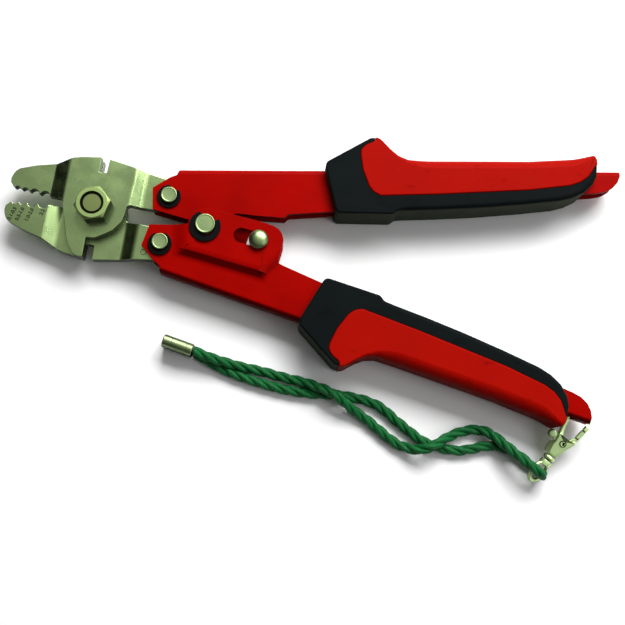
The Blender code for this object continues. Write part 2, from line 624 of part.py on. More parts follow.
def main():
    for old in list(bpy.data.objects):
        bpy.data.objects.remove(old, do_unlink=True)
    steel = material("jaw_steel", (0.50, 0.52, 0.42), 0.28, 1.0)
    bright = material("plated_steel", (0.58, 0.60, 0.50), 0.3, 1.0)
    black_steel = material("black_steel", (0.02, 0.022, 0.022), 0.45, 1.0)
    paint = material("red_paint", (0.52, 0.006, 0.002), 0.35)
    rubber = material("black_rubber", (0.008, 0.012, 0.012), 0.6)
    red_rubber = material("red_rubber", (0.6, 0.012, 0.004), 0.5)
    nickel = material("nickel", (0.62, 0.66, 0.48), 0.25, 1.0)
    spring_steel = material("spring_steel", (0.35, 0.35, 0.33), 0.35, 1.0)
    aluminium = material("aluminium", (0.55, 0.57, 0.50), 0.4, 1.0)
    green = material("green_rope", (0.008, 0.15, 0.035), 0.7)

    swing = handle_swing()
    make_jaw("upper_jaw", steel, OPEN_PIVOT_CLEARANCE, upper=True)
    make_jaw("lower_jaw", steel, PIN_CLEARANCE, upper=False)
    make_bolt(bright)
    make_nut(bright)

    pivot = (HANDLE_PIVOT_X, 0, 0)
    upper = frame("upper_handle_frame", pivot, swing)
    lower = frame("lower_handle_frame", pivot, -swing)
    make_channel("upper_handle_channel", paint, upper, 1)
    make_channel("lower_handle_channel", paint, lower, -1)
    toggle_x, toggle_y = turned_point((TOGGLE_X - HANDLE_PIVOT_X, TOGGLE_Y), -swing)
    groove = (CHANNEL_TOP + 0.05, CHANNEL_TOP + 1.0)
    for label, parent, side, opening in (("upper", upper, 1, 71), ("lower", lower, -1, 99)):
        at = (toggle_x, side * toggle_y, 0)
        make_pin(label + "_toggle_pin", bright, parent, at, TOGGLE_R, 4.5, 3.1, 1.45, groove, 15.6)
        turn = opening - side * math.degrees(swing)
        make_clip(label + "_toggle_clip", black_steel, parent, at, 4.5, TOGGLE_R - 0.35, groove, turn)
    ear_groove = (EAR_TOP + 0.05, EAR_TOP + 1.05)
    make_pin("handle_pivot_pin", bright, lower, (0, 0, 0), PIVOT_R, 5.5, 0.9, 1.55, ear_groove, 17.8)
    turn = 77 + math.degrees(swing)
    make_clip("handle_pivot_clip", black_steel, lower, (0, 0, 0), 6.4, PIVOT_R - 0.35, ear_groove, turn)
    make_lock(bright, black_steel, lower, -1)
    make_spring(spring_steel, swing)
    add_grips("upper", rubber, red_rubber, upper, 1)
    add_grips("lower", rubber, red_rubber, lower, -1)

    ring_x, ring_y = turned_point((SNAP_RING[0], -SNAP_RING[1]), -swing)
    snap = frame("snap_frame", (ring_x + HANDLE_PIVOT_X, ring_y, MID_Z), SNAP_HEADING, SNAP_DIP)
    make_snap_body(nickel, snap)
    make_gate(nickel, snap)
    make_swivel(nickel, snap)
    make_rivet(black_steel, snap)
    make_rope(green)
    make_ferrule(aluminium)


main()
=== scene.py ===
"""The visible pieces of the fishing pliers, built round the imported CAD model.

Shapes are drawn in millimetres, in the frames of the CAD part, and scaled to metres when a piece
is made. A handle's own frame has its origin on the handle pivot, X along the handle and Y outwards.
"""

from math import asin, atan, atan2, cos, degrees, exp, pi, radians, sin, sqrt, tan, tau

import bmesh
import bpy
from mathutils import Matrix, Vector


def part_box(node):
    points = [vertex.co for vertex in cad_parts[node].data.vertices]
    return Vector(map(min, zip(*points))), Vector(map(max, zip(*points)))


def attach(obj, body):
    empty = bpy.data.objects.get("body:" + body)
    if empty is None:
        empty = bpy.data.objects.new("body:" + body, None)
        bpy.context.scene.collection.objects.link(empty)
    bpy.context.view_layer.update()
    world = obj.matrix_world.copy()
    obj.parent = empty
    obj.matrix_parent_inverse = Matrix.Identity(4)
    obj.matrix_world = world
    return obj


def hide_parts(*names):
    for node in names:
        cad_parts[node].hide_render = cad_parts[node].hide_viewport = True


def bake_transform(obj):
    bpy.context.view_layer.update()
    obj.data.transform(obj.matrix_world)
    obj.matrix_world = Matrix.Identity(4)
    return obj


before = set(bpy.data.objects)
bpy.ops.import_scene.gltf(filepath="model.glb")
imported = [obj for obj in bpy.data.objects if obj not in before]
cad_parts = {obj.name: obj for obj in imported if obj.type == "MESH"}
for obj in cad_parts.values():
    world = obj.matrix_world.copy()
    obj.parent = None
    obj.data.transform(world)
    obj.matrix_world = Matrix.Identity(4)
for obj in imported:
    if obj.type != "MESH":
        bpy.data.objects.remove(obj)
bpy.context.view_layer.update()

MM = 0.001


def middle(node):
    low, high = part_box(node)
    return (low + high) / (2 * MM)


def top_of(node):
    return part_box(node)[1].z / MM


def set_at(x, y, z):
    return Matrix.Translation((x, y, z))


def placed(name, data):
    """A new object in the scene."""
    made = bpy.data.objects.new(name, data)
    bpy.context.scene.collection.objects.link(made)
    return made


# Places read from the CAD model.
PIVOT = Vector((middle("handle_pivot_pin").x, 0, 0))
TOGGLES = {side: middle(label + "_toggle_pin").xy for label, side in (("upper", 1), ("lower", -1))}
LOCK_AT = middle("lock_button").xy
TOTAL_Z = top_of("upper_grip_base")
MID_Z = TOTAL_Z / 2
CHANNEL_TOP = top_of("upper_handle_channel")
EAR_TOP = top_of("lower_handle_channel")
RIVET_AT = middle("snap_rivet")
BOLT_END_Z, NUT_HIGH = top_of("pivot_bolt"), top_of("pivot_nut")

HANDLE_SWING = radians(9.425)
JAW_SWING = radians(5.3)
HANDLE_FRAMES = {
    side: Matrix.Translation(PIVOT) @ Matrix.Rotation(side * HANDLE_SWING, 4, "Z") for side in (1, -1)
}
SIDES = {"upper": 1, "lower": -1}

# ---- camera, floor and light

CAMERA_AIM = Vector((94.35, -25.38, 0.0))
CAMERA_BACK = Vector((-0.01146, -0.17642, 0.98425)).normalized()
CAMERA_UP = Vector((-0.1637, 0.9865, 0.0))
CAMERA_DISTANCE = 415.0
FLOOR_Z = -0.1


def make_camera():
    camera = placed("camera", bpy.data.cameras.new("camera"))
    camera.data.sensor_width = 36.0
    camera.data.lens = 57.6
    camera.data.clip_start, camera.data.clip_end = 0.01, 20.0
    across = CAMERA_UP.cross(CAMERA_BACK).normalized()
    up = CAMERA_BACK.cross(across)
    turn = Matrix((across, up, CAMERA_BACK)).transposed()
    place = (CAMERA_AIM + CAMERA_BACK * CAMERA_DISTANCE) * MM
    camera.matrix_world = Matrix.Translation(place) @ turn.to_4x4()
    bpy.context.scene.camera = camera


def make_light(name, at, aim, size, power):
    light = bpy.data.lights.new(name, "AREA")
    light.shape = "RECTANGLE"
    light.size, light.size_y = size
    light.energy = power
    made = placed(name, light)
    made.location = at
    made.rotation_mode = "QUATERNION"
    made.rotation_quaternion = (Vector(aim) - Vector(at)).to_track_quat("-Z", "Y")


def make_stage():
    bm = bmesh.new()
    bmesh.ops.create_grid(bm, x_segments=1, y_segments=1, size=3.0)
    mesh = bpy.data.meshes.new("floor")
    bm.to_mesh(mesh)
    bm.free()
    floor = placed("floor", mesh)
    floor.location.z = FLOOR_Z * MM
    mesh.materials.append(new_material("pale_floor", (0.9, 0.9, 0.9), 0.8)[0])

    world = bpy.data.worlds.new("studio")
    bpy.context.scene.world = world
    world.use_nodes = True
    tree = world.node_tree
    tree.nodes.clear()
    around = add(tree, "TexCoord").outputs["Generated"]
    toward = add(tree, "SeparateXYZ", {"Vector": around})
    side = spread(tree, toward.outputs["X"], 0.0, 0.22, -0.55, -0.1)
    near = maths(tree, "VectorMath", "DOT_PRODUCT", around, (0.1, 0.3, 0.95))
    low = spread(tree, toward.outputs["Y"], 0.25, 1.0, -0.75, -0.1)
    side = maths(tree, "Math", "MULTIPLY", side, low)
    glow = maths(tree, "Math", "ADD", side, spread(tree, near, 0.0, 0.27, 0.62, 0.9))
    sky = add(tree, "Background", {"Color": (1, 1, 1, 1), "Strength": glow})
    add(tree, "OutputWorld", {"Surface": sky.outputs["Background"]})

    centre = Vector((0.09, -0.02, 0.0))
    make_light("key", (0.25, 0.6, 0.62), centre, (0.8, 0.5), 15.5)
    make_light("right_fill", (0.75, -0.15, 0.6), centre, (0.35, 0.5), 1.2)
    bpy.context.scene.view_settings.view_transform = "Standard"


# ---- node helpers for the materials


def add(tree, kind, inputs=(), **settings):
    made = tree.nodes.new("ShaderNode" + kind)
    for key, value in settings.items():
        setattr(made, key, value)
    for key, value in dict(inputs).items():
        if isinstance(value, bpy.types.NodeSocket):
            tree.links.new(value, made.inputs[key])
        else:
            made.inputs[key].default_value = value
    return made


def maths(tree, kind, operation, *values):
    return add(tree, kind, dict(enumerate(values)), operation=operation).outputs["Value"]


def new_material(name, rgb, roughness, metallic=0.0, gloss=0.5):
    made = bpy.data.materials.new(name)
    made.use_nodes = True
    inputs = made.node_tree.nodes["Principled BSDF"].inputs
    inputs["Base Color"].default_value = (*rgb, 1.0)
    inputs["Roughness"].default_value = roughness
    inputs["Metallic"].default_value = metallic
    inputs["Specular IOR Level"].default_value = gloss
    return made, made.node_tree


def noise(tree, per_mm, detail=3.0, stretch=(1, 1, 1), roughness=0.5):
    """Noise with about per_mm features in each millimetre, fixed to the piece."""
    place = add(tree, "TexCoord").outputs["Object"]
    scale = [per_mm / MM * s for s in stretch]
    mapped = add(tree, "Mapping", {"Vector": place, "Scale": scale}).outputs["Vector"]
    found = add(tree, "TexNoise", {"Vector": mapped, "Scale": 1.0, "Detail": detail, "Roughness": roughness})
    return found.outputs["Fac"]


def spread(tree, value, low, high, start=0.3, end=0.7):
    inputs = {"Value": value, "From Min": start, "From Max": end, "To Min": low, "To Max": high}
    return add(tree, "MapRange", inputs).outputs["Result"]


def blended(tree, factor, first, second):
    made = tree.nodes.new("ShaderNodeMix")
    made.data_type = "RGBA"
    tree.links.new(factor, made.inputs["Factor"])
    for socket, value in ((made.inputs[6], first), (made.inputs[7], second)):
        if isinstance(value, bpy.types.NodeSocket):
            tree.links.new(value, socket)
        else:
            socket.default_value = (*value, 1.0)
    return made.outputs[2]


def bump(tree, height, depth_mm, before=None):
    inputs = {"Height": height, "Strength": 1.0, "Distance": depth_mm * MM}
    if before:
        inputs["Normal"] = before
    return add(tree, "Bump", inputs).outputs["Normal"]


def edges_of(tree, radius_mm):
    """0 on open surfaces, rising towards 1 at edges, whichever way they turn."""
    soft = add(tree, "Bevel", {"Radius": radius_mm * MM}).outputs["Normal"]
    flat = add(tree, "NewGeometry").outputs["Normal"]
    return spread(tree, maths(tree, "VectorMath", "DOT_PRODUCT", soft, flat), 1.0, 0.0, 0.8, 1.0)


def walls_of(tree):
    """1 on upright surfaces, such as a pressing's blanked edges, and 0 on level and sloping ones."""
    normal = add(tree, "SeparateXYZ", {"Vector": add(tree, "NewGeometry").outputs["True Normal"]})
    return spread(tree, maths(tree, "Math", "ABSOLUTE", normal.outputs["Z"]), 1.0, 0.0, 0.25, 0.6)


def facing_down(tree):
    """1 on slopes that fall toward -Y, the mask for shade painted on those slopes. It reads the surface's direction,
    not the camera's.
    """
    split = add(tree, "SeparateXYZ", {"Vector": add(tree, "NewGeometry").outputs["Normal"]})
    return spread(tree, split.outputs["Y"], 1.0, 0.0, -0.45, -0.2)


def dressed(made, colour, normal, roughness=None):
    """The material, with what was worked out for it joined to its shader."""
    tree = made.node_tree
    shader = tree.nodes["Principled BSDF"]
    for name, output in (("Base Color", colour), ("Roughness", roughness), ("Normal", normal)):
        if output is not None:
            tree.links.new(output, shader.inputs[name])
    return made


# ---- materials


def ground_steel(name, rgb, dark, roughness=(0.2, 0.34), grain=(0.35, 6.0, 0.35), metallic=1.0):
    """Steel with a fine ground grain, cloudy patches and darker pits, and with painted shade darkening its upright
    sides.
    """
    made, tree = new_material(name, rgb, roughness[0], metallic)
    clouds = noise(tree, 0.12, 4.0)
    lines = noise(tree, 1.0, 2.0, grain)
    pits = noise(tree, 1.6, 4.0, roughness=0.7)
    tint = blended(tree, spread(tree, clouds, 0.0, 0.5), rgb, dark)
    spots = spread(tree, pits, 0.0, 0.35, 0.66, 0.8)
    tint = blended(tree, spots, tint, [0.4 * c for c in dark])
    # Painted shade: upright sides are darkened almost to black, as if in shadow.
    tint = blended(tree, walls_of(tree), tint, [0.08 * c for c in dark])
    normal = bump(tree, pits, 0.015, bump(tree, lines, 0.012))
    return dressed(made, tint, normal, spread(tree, clouds, *roughness))


def painted(name, rgb, shade):
    """Gloss paint with orange peel, slight dirt in patches and rubbed edges, and painted shade on its upright sides and
    on slopes facing -Y.
    """
    made, tree = new_material(name, rgb, 0.4, gloss=0.015)
    clouds = noise(tree, 0.06, 4.0)
    peel = noise(tree, 0.9, 2.0)
    rubs = noise(tree, 0.5, 5.0, (0.3, 1.4, 1.0), 0.65)
    specks = noise(tree, 1.3, 3.0)
    tint = blended(tree, spread(tree, clouds, 0.0, 0.8), rgb, shade)
    patches = spread(tree, rubs, 0.0, 0.8, 0.5, 0.7)
    worn = maths(tree, "Math", "MULTIPLY", edges_of(tree, 0.35), patches)
    tint = blended(tree, spread(tree, specks, 0.0, 0.5, 0.68, 0.8), tint, [0.3 * c for c in shade])
    # Painted shade: upright sides and slopes that face -Y are darkened, as if turned away from the light.
    tint = blended(tree, walls_of(tree), tint, [0.35 * c for c in shade])
    tint = blended(tree, facing_down(tree), tint, [0.4 * c for c in shade])
    tint = blended(tree, worn, tint, (0.12, 0.016, 0.010))
    return dressed(made, tint, bump(tree, peel, 0.03), spread(tree, rubs, 0.3, 0.46))


def moulded(name, rgb, shade, sides, roughness, grain_mm, scuff=0.5):
    """Soft moulded rubber: a fine grain, faint mottling and dull handling marks, and a colour of its own on the upright
    sides, which on the red rubber is painted shade.
    """
    made, tree = new_material(name, rgb, roughness, gloss=0.02)
    clouds = noise(tree, 0.05, 5.0)
    grain = noise(tree, 3.2, 2.0)
    marks = noise(tree, 0.18, 6.0, (0.6, 1.3, 1.0), 0.7)
    tint = blended(tree, spread(tree, clouds, 0.0, 0.7), rgb, shade)
    dirt = spread(tree, marks, 0.0, scuff, 0.6, 0.7)
    tint = blended(tree, dirt, tint, [0.3 * c for c in shade])
    # Upright sides take the sides colour: on the red rubber it is painted shade, darker than the face; on the black
    # rubber it is a lighter tone.
    tint = blended(tree, walls_of(tree), tint, sides)
    return dressed(made, tint, bump(tree, grain, grain_mm), spread(tree, marks, roughness - 0.07, roughness + 0.1))


def rope_fibre(name, rgb, dark):
    """Twisted yarn: fine filaments along the strand, with paler and darker ones among them."""
    made, tree = new_material(name, rgb, 0.5, gloss=0.15)
    place = add(tree, "UVMap", uv_map="strand").outputs["UV"]
    mapped = add(tree, "Mapping", {"Vector": place, "Scale": (0.5, 34.0, 1.0)}).outputs["Vector"]
    threads = add(tree, "TexNoise", {"Vector": mapped, "Scale": 1.0, "Detail": 3.0}).outputs["Fac"]
    clouds = noise(tree, 0.08, 3.0)
    tint = blended(tree, spread(tree, threads, 0.0, 1.0), rgb, dark)
    return dressed(made, blended(tree, spread(tree, clouds, 0.0, 0.35), tint, dark), bump(tree, threads, 0.12))


# ---- shape helpers


def arc(centre, radius, start, end, steps):
    """Points on an arc from start to end, in degrees, both ends included."""
    turns = [radians(start + (end - start) * i / steps) for i in range(steps + 1)]
    return [(centre[0] + radius * cos(a), centre[1] + radius * sin(a)) for a in turns]


def turned_point(point, angle):
    x, y = point
    return (x * cos(angle) - y * sin(angle), x * sin(angle) + y * cos(angle))


def box(left, low, right, high):
    return [(left, low), (right, low), (right, high), (left, high)]


def mirrored(points, side):
    return [(x, side * y) for x, y in points]


def grown(outline, distance):
    """The counter-clockwise outline moved outwards by distance."""
    moved = []
    for i, here in enumerate(outline):
        before, after = Vector(outline[i - 1]), Vector(outline[(i + 1) % len(outline)])
        first, second = (Vector(here) - before).normalized(), (after - Vector(here)).normalized()
        out_a, out_b = Vector((first.y, -first.x)), Vector((second.y, -second.x))
        bisector = (out_a + out_b).normalized()
        moved.append(tuple(Vector(here) + bisector * distance / max(bisector.dot(out_a), 0.4)))
    return moved


def corner(here, back, ahead, room, steps):
    """Points round the corner at here, starting room along back and ending room along ahead."""
    start, end = here + back.normalized() * room, here + ahead.normalized() * room
    places = [k / steps for k in range(steps + 1)]
    return [tuple((1 - t) ** 2 * start + 2 * t * (1 - t) * here + t * t * end) for t in places]


def filleted(outline, radius, turn_step=8.0):
    """Each corner of the outline rounded with the radius, or as much of it as its edges leave room for."""
    made = []
    for i, here in enumerate(outline):
        here = Vector(here)
        back, ahead = Vector(outline[i - 1]) - here, Vector(outline[(i + 1) % len(outline)]) - here
        turn = pi - back.angle(ahead)
        if turn < radians(1.0):
            made.append(tuple(here))
            continue
        room = min(radius * tan(turn / 2), 0.47 * back.length, 0.47 * ahead.length)
        made += corner(here, back, ahead, room, max(2, round(degrees(turn) / turn_step)))
    return made


def plate(outline, low, high, cuts=()):
    """An outline made into a plate between low(x, y) and high(x, y), or two plain heights.

    Each cut is a point and a normal. The plate gets an edge along it, where its slope may change.
    """
    bm = bmesh.new()
    bm.faces.new([bm.verts.new((x, y, 0)) for x, y in outline])
    for point, normal in cuts:
        bmesh.ops.bisect_plane(
            bm, geom=bm.verts[:] + bm.edges[:] + bm.faces[:], dist=1e-5,
            plane_co=(*point, 0), plane_no=(*normal, 0),
        )
    bottom = bm.verts[:]
    sheet = bmesh.ops.extrude_face_region(bm, geom=bm.faces[:])["geom"]
    for vert in [v for v in sheet if isinstance(v, bmesh.types.BMVert)]:
        vert.co.z = high(vert.co.x, vert.co.y) if callable(high) else high
    for vert in bottom:
        vert.co.z = low(vert.co.x, vert.co.y) if callable(low) else low
    return bm


def turned(profile, steps=64, along_x=False):
    """A solid of revolution about Z, or X, from (radius, height) points that start and end on it."""
    bm = bmesh.new()
    rings = []
    for radius, height in profile:
        if radius == 0:
            rings.append([bm.verts.new((0, 0, height))])
            continue
        spots = arc((0, 0), radius, 0, 360 * (steps - 1) / steps, steps - 1)
        rings.append([bm.verts.new((x, y, height)) for x, y in spots])
    for lower, upper in zip(rings, rings[1:]):
        for i in range(steps):
            j = (i + 1) % steps
            ends = [lower[i % len(lower)], lower[j % len(lower)], upper[j % len(upper)], upper[i % len(upper)]]
            bm.faces.new(list(dict.fromkeys(ends)))
    bmesh.ops.remove_doubles(bm, verts=bm.verts[:], dist=1e-5)
    if along_x:
        bmesh.ops.rotate(bm, matrix=Matrix.Rotation(pi / 2, 3, "Y"), verts=bm.verts[:])
    return bm


def rod(radius, low, high):
    return [(0, low), (radius, low), (radius, high), (0, high)]


def eased(profile, radius, steps=4):
    """A turned profile with its inner corners rounded."""
    made = [profile[0]]
    for before, here, after in zip(profile, profile[1:], profile[2:]):
        here = Vector(here)
        back, ahead = Vector(before) - here, Vector(after) - here
        made += corner(here, back, ahead, min(radius, 0.45 * back.length, 0.45 * ahead.length), steps)
    return made + [profile[-1]]


def skinned(bm, rings, caps=True):
    """Faces between the rings, and one across each end."""
    for near, far in zip(rings, rings[1:]):
        for j in range(len(near)):
            k = (j + 1) % len(near)
            bm.faces.new([near[j], near[k], far[k], far[j]])
    if caps:
        bm.faces.new(rings[0][::-1])
        bm.faces.new(rings[-1])
    return bm


def tube(bm, points, radius, around, closed=False):
    """A tube along the points. radius is a number, or a function of a point's number and an angle."""
    count = len(points)
    normal = None
    rings = []
    for i, point in enumerate(points):
        ahead = points[(i + 1) % count] if closed or i + 1 < count else point
        behind = points[i - 1] if closed or i else point
        along = (ahead - behind).normalized()
        if normal is None:
            normal = along.orthogonal().normalized()
        normal = (normal - along * normal.dot(along)).normalized()
        across = along.cross(normal)
        ring = []
        for j in range(around):
            a = tau * j / around
            r = radius(i, a) if callable(radius) else radius
            ring.append(bm.verts.new(point + r * (normal * cos(a) + across * sin(a))))
        rings.append(ring)
    if closed:
        first = rings[0]
        shift = min(range(around), key=lambda s: (rings[-1][0].co - first[s].co).length)
        rings.append(first[shift:] + first[:shift])
    return skinned(bm, rings, caps=not closed)


def loose(bm, matrix=None, finish=None):
    """A plain object from the mesh, in millimetres, before it becomes a piece."""
    if matrix:
        bmesh.ops.transform(bm, matrix=matrix, verts=bm.verts[:])
    bmesh.ops.recalc_face_normals(bm, faces=bm.faces[:])
    mesh = bpy.data.meshes.new("shape")
    bm.to_mesh(mesh)
    bm.free()
    if finish:
        mesh.materials.append(finish)
    return placed("shape", mesh)


def final_mesh(obj):
    return bpy.data.meshes.new_from_object(obj.evaluated_get(bpy.context.evaluated_depsgraph_get()))


def editable(mesh):
    bm = bmesh.new()
    bm.from_mesh(mesh)
    return bm


def settle(obj):
    """The object's modifiers made part of its mesh."""
    mesh = final_mesh(obj)
    obj.modifiers.clear()
    obj.data = mesh


def carve(target, cutter, operation="DIFFERENCE"):
    """A Boolean. The surface that a cutter with a material of its own leaves gets that material."""
    step = target.modifiers.new("carve", "BOOLEAN")
    step.operation = operation
    step.solver = "MANIFOLD"
    step.object = cutter
    step.material_mode = "TRANSFER" if cutter.data.materials else "INDEX"
    settle(target)
    bpy.data.objects.remove(cutter)
    return target


def bevel(obj, width, segments, weigh):
    """A bevel on the edges that weigh(middle, direction, angle in degrees) gives a weight over 0."""
    bm = editable(obj.data)
    layer = bm.edges.layers.float.new("bevel_weight_edge")
    for edge in bm.edges:
        if len(edge.link_faces) == 2:
            ends = [v.co for v in edge.verts]
            angle = degrees(edge.calc_face_angle(0.0))
            edge[layer] = weigh((ends[0] + ends[1]) / 2, (ends[1] - ends[0]).normalized(), angle)
    bm.to_mesh(obj.data)
    bm.free()
    step = obj.modifiers.new("bevel", "BEVEL")
    step.width = width
    step.segments = segments
    step.limit_method = "WEIGHT"
    step.use_clamp_overlap = False
    settle(obj)
    leftover = obj.data.attributes.get("bevel_weight_edge")
    if leftover:
        obj.data.attributes.remove(leftover)
    return obj


def cushioned(outline, radius, low, high, step=3.0, steps=8):
    """A plate of the counter-clockwise outline whose top and bottom edges roll over by radius(x, y)."""
    dense = []
    for here, after in zip(outline, outline[1:] + outline[:1]):
        pieces = max(1, round((Vector(after) - Vector(here)).length / step))
        dense += [tuple(Vector(here).lerp(Vector(after), k / pieces)) for k in range(pieces)]
    aside = [Vector(b) - Vector(a) for a, b in zip(dense, grown(dense, 1.0))]
    radii = [radius(x, y) for x, y in dense]
    bm = bmesh.new()
    rings = []
    turns = [pi / 2 * k / steps for k in range(steps + 1)]
    for edge, inwards, angles in ((low, 1, turns[::-1]), (high, -1, turns)):
        for a in angles:
            ring = []
            for spot, out, r in zip(dense, aside, radii):
                x, y = Vector(spot) - out * r * (1 - cos(a))
                ring.append(bm.verts.new((x, y, edge + inwards * r * (1 - sin(a)))))
            rings.append(ring)
    return skinned(bm, rings)


def soft_edges(obj, width=0.25, segments=2, over=50.0):
    return bevel(obj, width, segments, lambda _middle, _along, angle: 1.0 if angle > over else 0.0)


def hole(target, centre, radius, low, high, ease=0.25, steps=48):
    """A round hole along Z with a small chamfer where it breaks through at low and at high."""
    reach = 3.0
    profile = [(0, low - reach), (radius + ease + reach, low - reach), (radius, low + ease)]
    profile += [(radius, high - ease), (radius + ease + reach, high + reach), (0, high + reach)]
    return carve(target, loose(turned(profile, steps), set_at(*centre, 0)))


def piece(obj, name, body, finish, replaces=(), matrix=None, sharp=32.0):
    """The object made into a piece: in metres, shaded, painted and riding on its body."""
    if matrix:
        obj.data.transform(matrix)
    obj.data.transform(Matrix.Scale(MM, 4))
    obj.name = name
    obj.data.name = name
    if not obj.data.materials:
        obj.data.materials.append(finish)
    obj.data.shade_smooth()
    obj.data.set_sharp_from_angle(angle=radians(sharp))
    even = obj.modifiers.new("normals", "WEIGHTED_NORMAL")
    even.keep_sharp = True
    if body:
        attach(obj, body)
    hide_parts(*replaces)
    return obj


# ---- jaws

JAW_THICK, JAW_STACK_GAP = 4.4, 0.3
JAW_STEP = (JAW_THICK + JAW_STACK_GAP) / 2
JAW_LANDS = (-19.0, -23.6, -27.9, -31.2, -34.2)  # tooth crests along the closed jaws
NEST_DEPTHS = (1.6, 1.4, 0.85, 0.75)
LAND = 0.7
TOOTH_GAP = 0.08
TIP_BEND, TAIL_BEND = (-13.4, -19.0), (13.6, 18.2)
BOLT_HOLE_R, TOGGLE_HOLE_R = 4.1, 3.25


def nest(start, end, depth):
    """A round crimping nest between two lands, as an arc with the given depth."""
    half = abs(end - start) / 2
    radius = (half * half + depth * depth) / (2 * depth)
    reach = degrees(asin(min(1.0, half / radius)))
    centre = ((start + end) / 2, TOOTH_GAP + depth - radius)
    return arc(centre, radius, 90 - reach, 90 + reach, 12)


def jaw_outline():
    """The jaw seen from the nut side, open, without its holes."""
    bite = [(-13.6, TOOTH_GAP)]
    for near, far, depth in zip(JAW_LANDS, JAW_LANDS[1:], NEST_DEPTHS):
        bite += nest(near - LAND / 2, far + LAND / 2, depth)
    bite += [(JAW_LANDS[-1] - 0.4, TOOTH_GAP)]
    nose = [(-36.3, 1.7), (-36.6, 3.4), (-36.3, 5.2), (-35.6, 6.9), (-34.4, 8.2), (-28.3, 11.2), (-20.7, 13.8)]
    tip = [turned_point(point, -JAW_SWING) for point in bite + nose]
    crown = [(-12.8, 18.8), (-9.1, 19.9), (-1.2, 21.1), (-1.2, 14.9), (0.4, 14.6), (2.0, 14.9), (2.2, 20.8)]
    toggle = (TOGGLES[1].x, TOGGLES[1].y)
    tail = [(6.0, 20.2), (13.1, 19.0), (27.6, toggle[1] + 7.1)]
    tail += arc(toggle, 6.8, 80, -70, 24) + [(22.9, 3.6), (13.9, 3.2), (12.8, 2.4)]
    lobe = [(12.6, -0.5), (11.7, -4.4), (8.95, -8.3), (5.6, -10.7), (2.5, -12.6), (-1.0, -12.9)]
    lobe += [(-0.9, -20.9), (-2.6, -21.2), (-4.8, -20.5), (-7.5, -17.2), (-9.1, -13.5)]
    lobe += [(-10.9, -7.6), (-12.6, -2.0)]
    return tip + crown + tail + lobe


def jaw_drop(x):
    """How far the upper jaw's plate lies below its crossing: none there, one step at both ends."""
    tip = (TIP_BEND[0] - x) / (TIP_BEND[0] - TIP_BEND[1])
    tail = (x - TAIL_BEND[0]) / (TAIL_BEND[1] - TAIL_BEND[0])
    return JAW_STEP * max(0.0, min(1.0, max(tip, tail)))


def stamp(text, size, depth, matrix, recess_shade):
    """A cutter for stamped numerals: it reaches depth below the surface that matrix puts at its XY plane. The faces it
    cuts get its near-black material, which paints shade into the stamping.
    """
    curve = bpy.data.curves.new("stamp", "FONT")
    curve.body = text
    curve.size = size
    curve.align_x, curve.align_y = "RIGHT", "CENTER"
    curve.extrude = depth
    curve.offset = 0.07
    made = placed("stamp", curve)
    bm = editable(final_mesh(made))
    bpy.data.objects.remove(made)
    bmesh.ops.remove_doubles(bm, verts=bm.verts[:], dist=1e-4)
    return loose(bm, matrix, recess_shade)


def make_jaw(label, finish, recess_shade):
    """Both jaws are one pressing. The lower one is turned over about X."""
    sign = SIDES[label]
    low = MID_Z + sign * JAW_STACK_GAP / 2
    outline = mirrored(jaw_outline(), sign)
    ends = sorted((low, low + sign * JAW_THICK))
    cuts = [((x, 0), (1, 0)) for x in TIP_BEND + TAIL_BEND]
    bm = plate(outline, lambda x, y: ends[0] - sign * jaw_drop(x), lambda x, y: ends[1] - sign * jaw_drop(x), cuts)
    jaw = loose(bm, finish=finish)
    bevel(jaw, 1.1, 4, lambda _middle, along, angle: 1.0 if 12 < angle < 40 and abs(along.y) > 0.9 else 0.0)
    soft_edges(jaw, 0.22, 2, 75)
    drop = JAW_STEP * sign
    hole(jaw, (0, 0), BOLT_HOLE_R, *ends)
    hole(jaw, TOGGLES[sign], TOGGLE_HOLE_R, ends[0] - drop, ends[1] - drop)
    if label == "lower":
        top = ends[1] - drop
        # The stamped numerals and the ring mark are lined with painted shade.
        for near, far, sizes in zip(JAW_LANDS, JAW_LANDS[1:], ("2.2", "1.0-2.0", "0.5-1.0", "0.1-0.5")):
            spot = turned_point(((near + far) / 2 + 0.5, 2.2), -JAW_SWING)
            place = set_at(spot[0], -spot[1], top) @ Matrix.Rotation(radians(74), 4, "Z")
            carve(jaw, stamp(sizes, 2.1, 0.2, place, recess_shade))
        mark = loose(turned([(1.0, -0.12), (1.25, -0.12), (1.25, 0.3), (1.0, 0.3), (1.0, -0.12)], 32), finish=recess_shade)
        mark.data.transform(set_at(22.6, -14.6, top))
        carve(jaw, mark)
    return piece(jaw, label + "_jaw_pressing", label + "_jaw", finish, (label + "_jaw",))


# ---- bolt and nut

HEX_FLATS, HEX_TURN = 13.0, 17.4
BOLT_R, BOLT_HEAD_Z, NUT_LOW = 3.95, 4.3, 13.7
THREAD_PITCH, THREAD_DEPTH = 1.25, 0.45


def hexagon():
    return arc((0, 0), HEX_FLATS / sqrt(3), HEX_TURN, HEX_TURN + 300, 5)


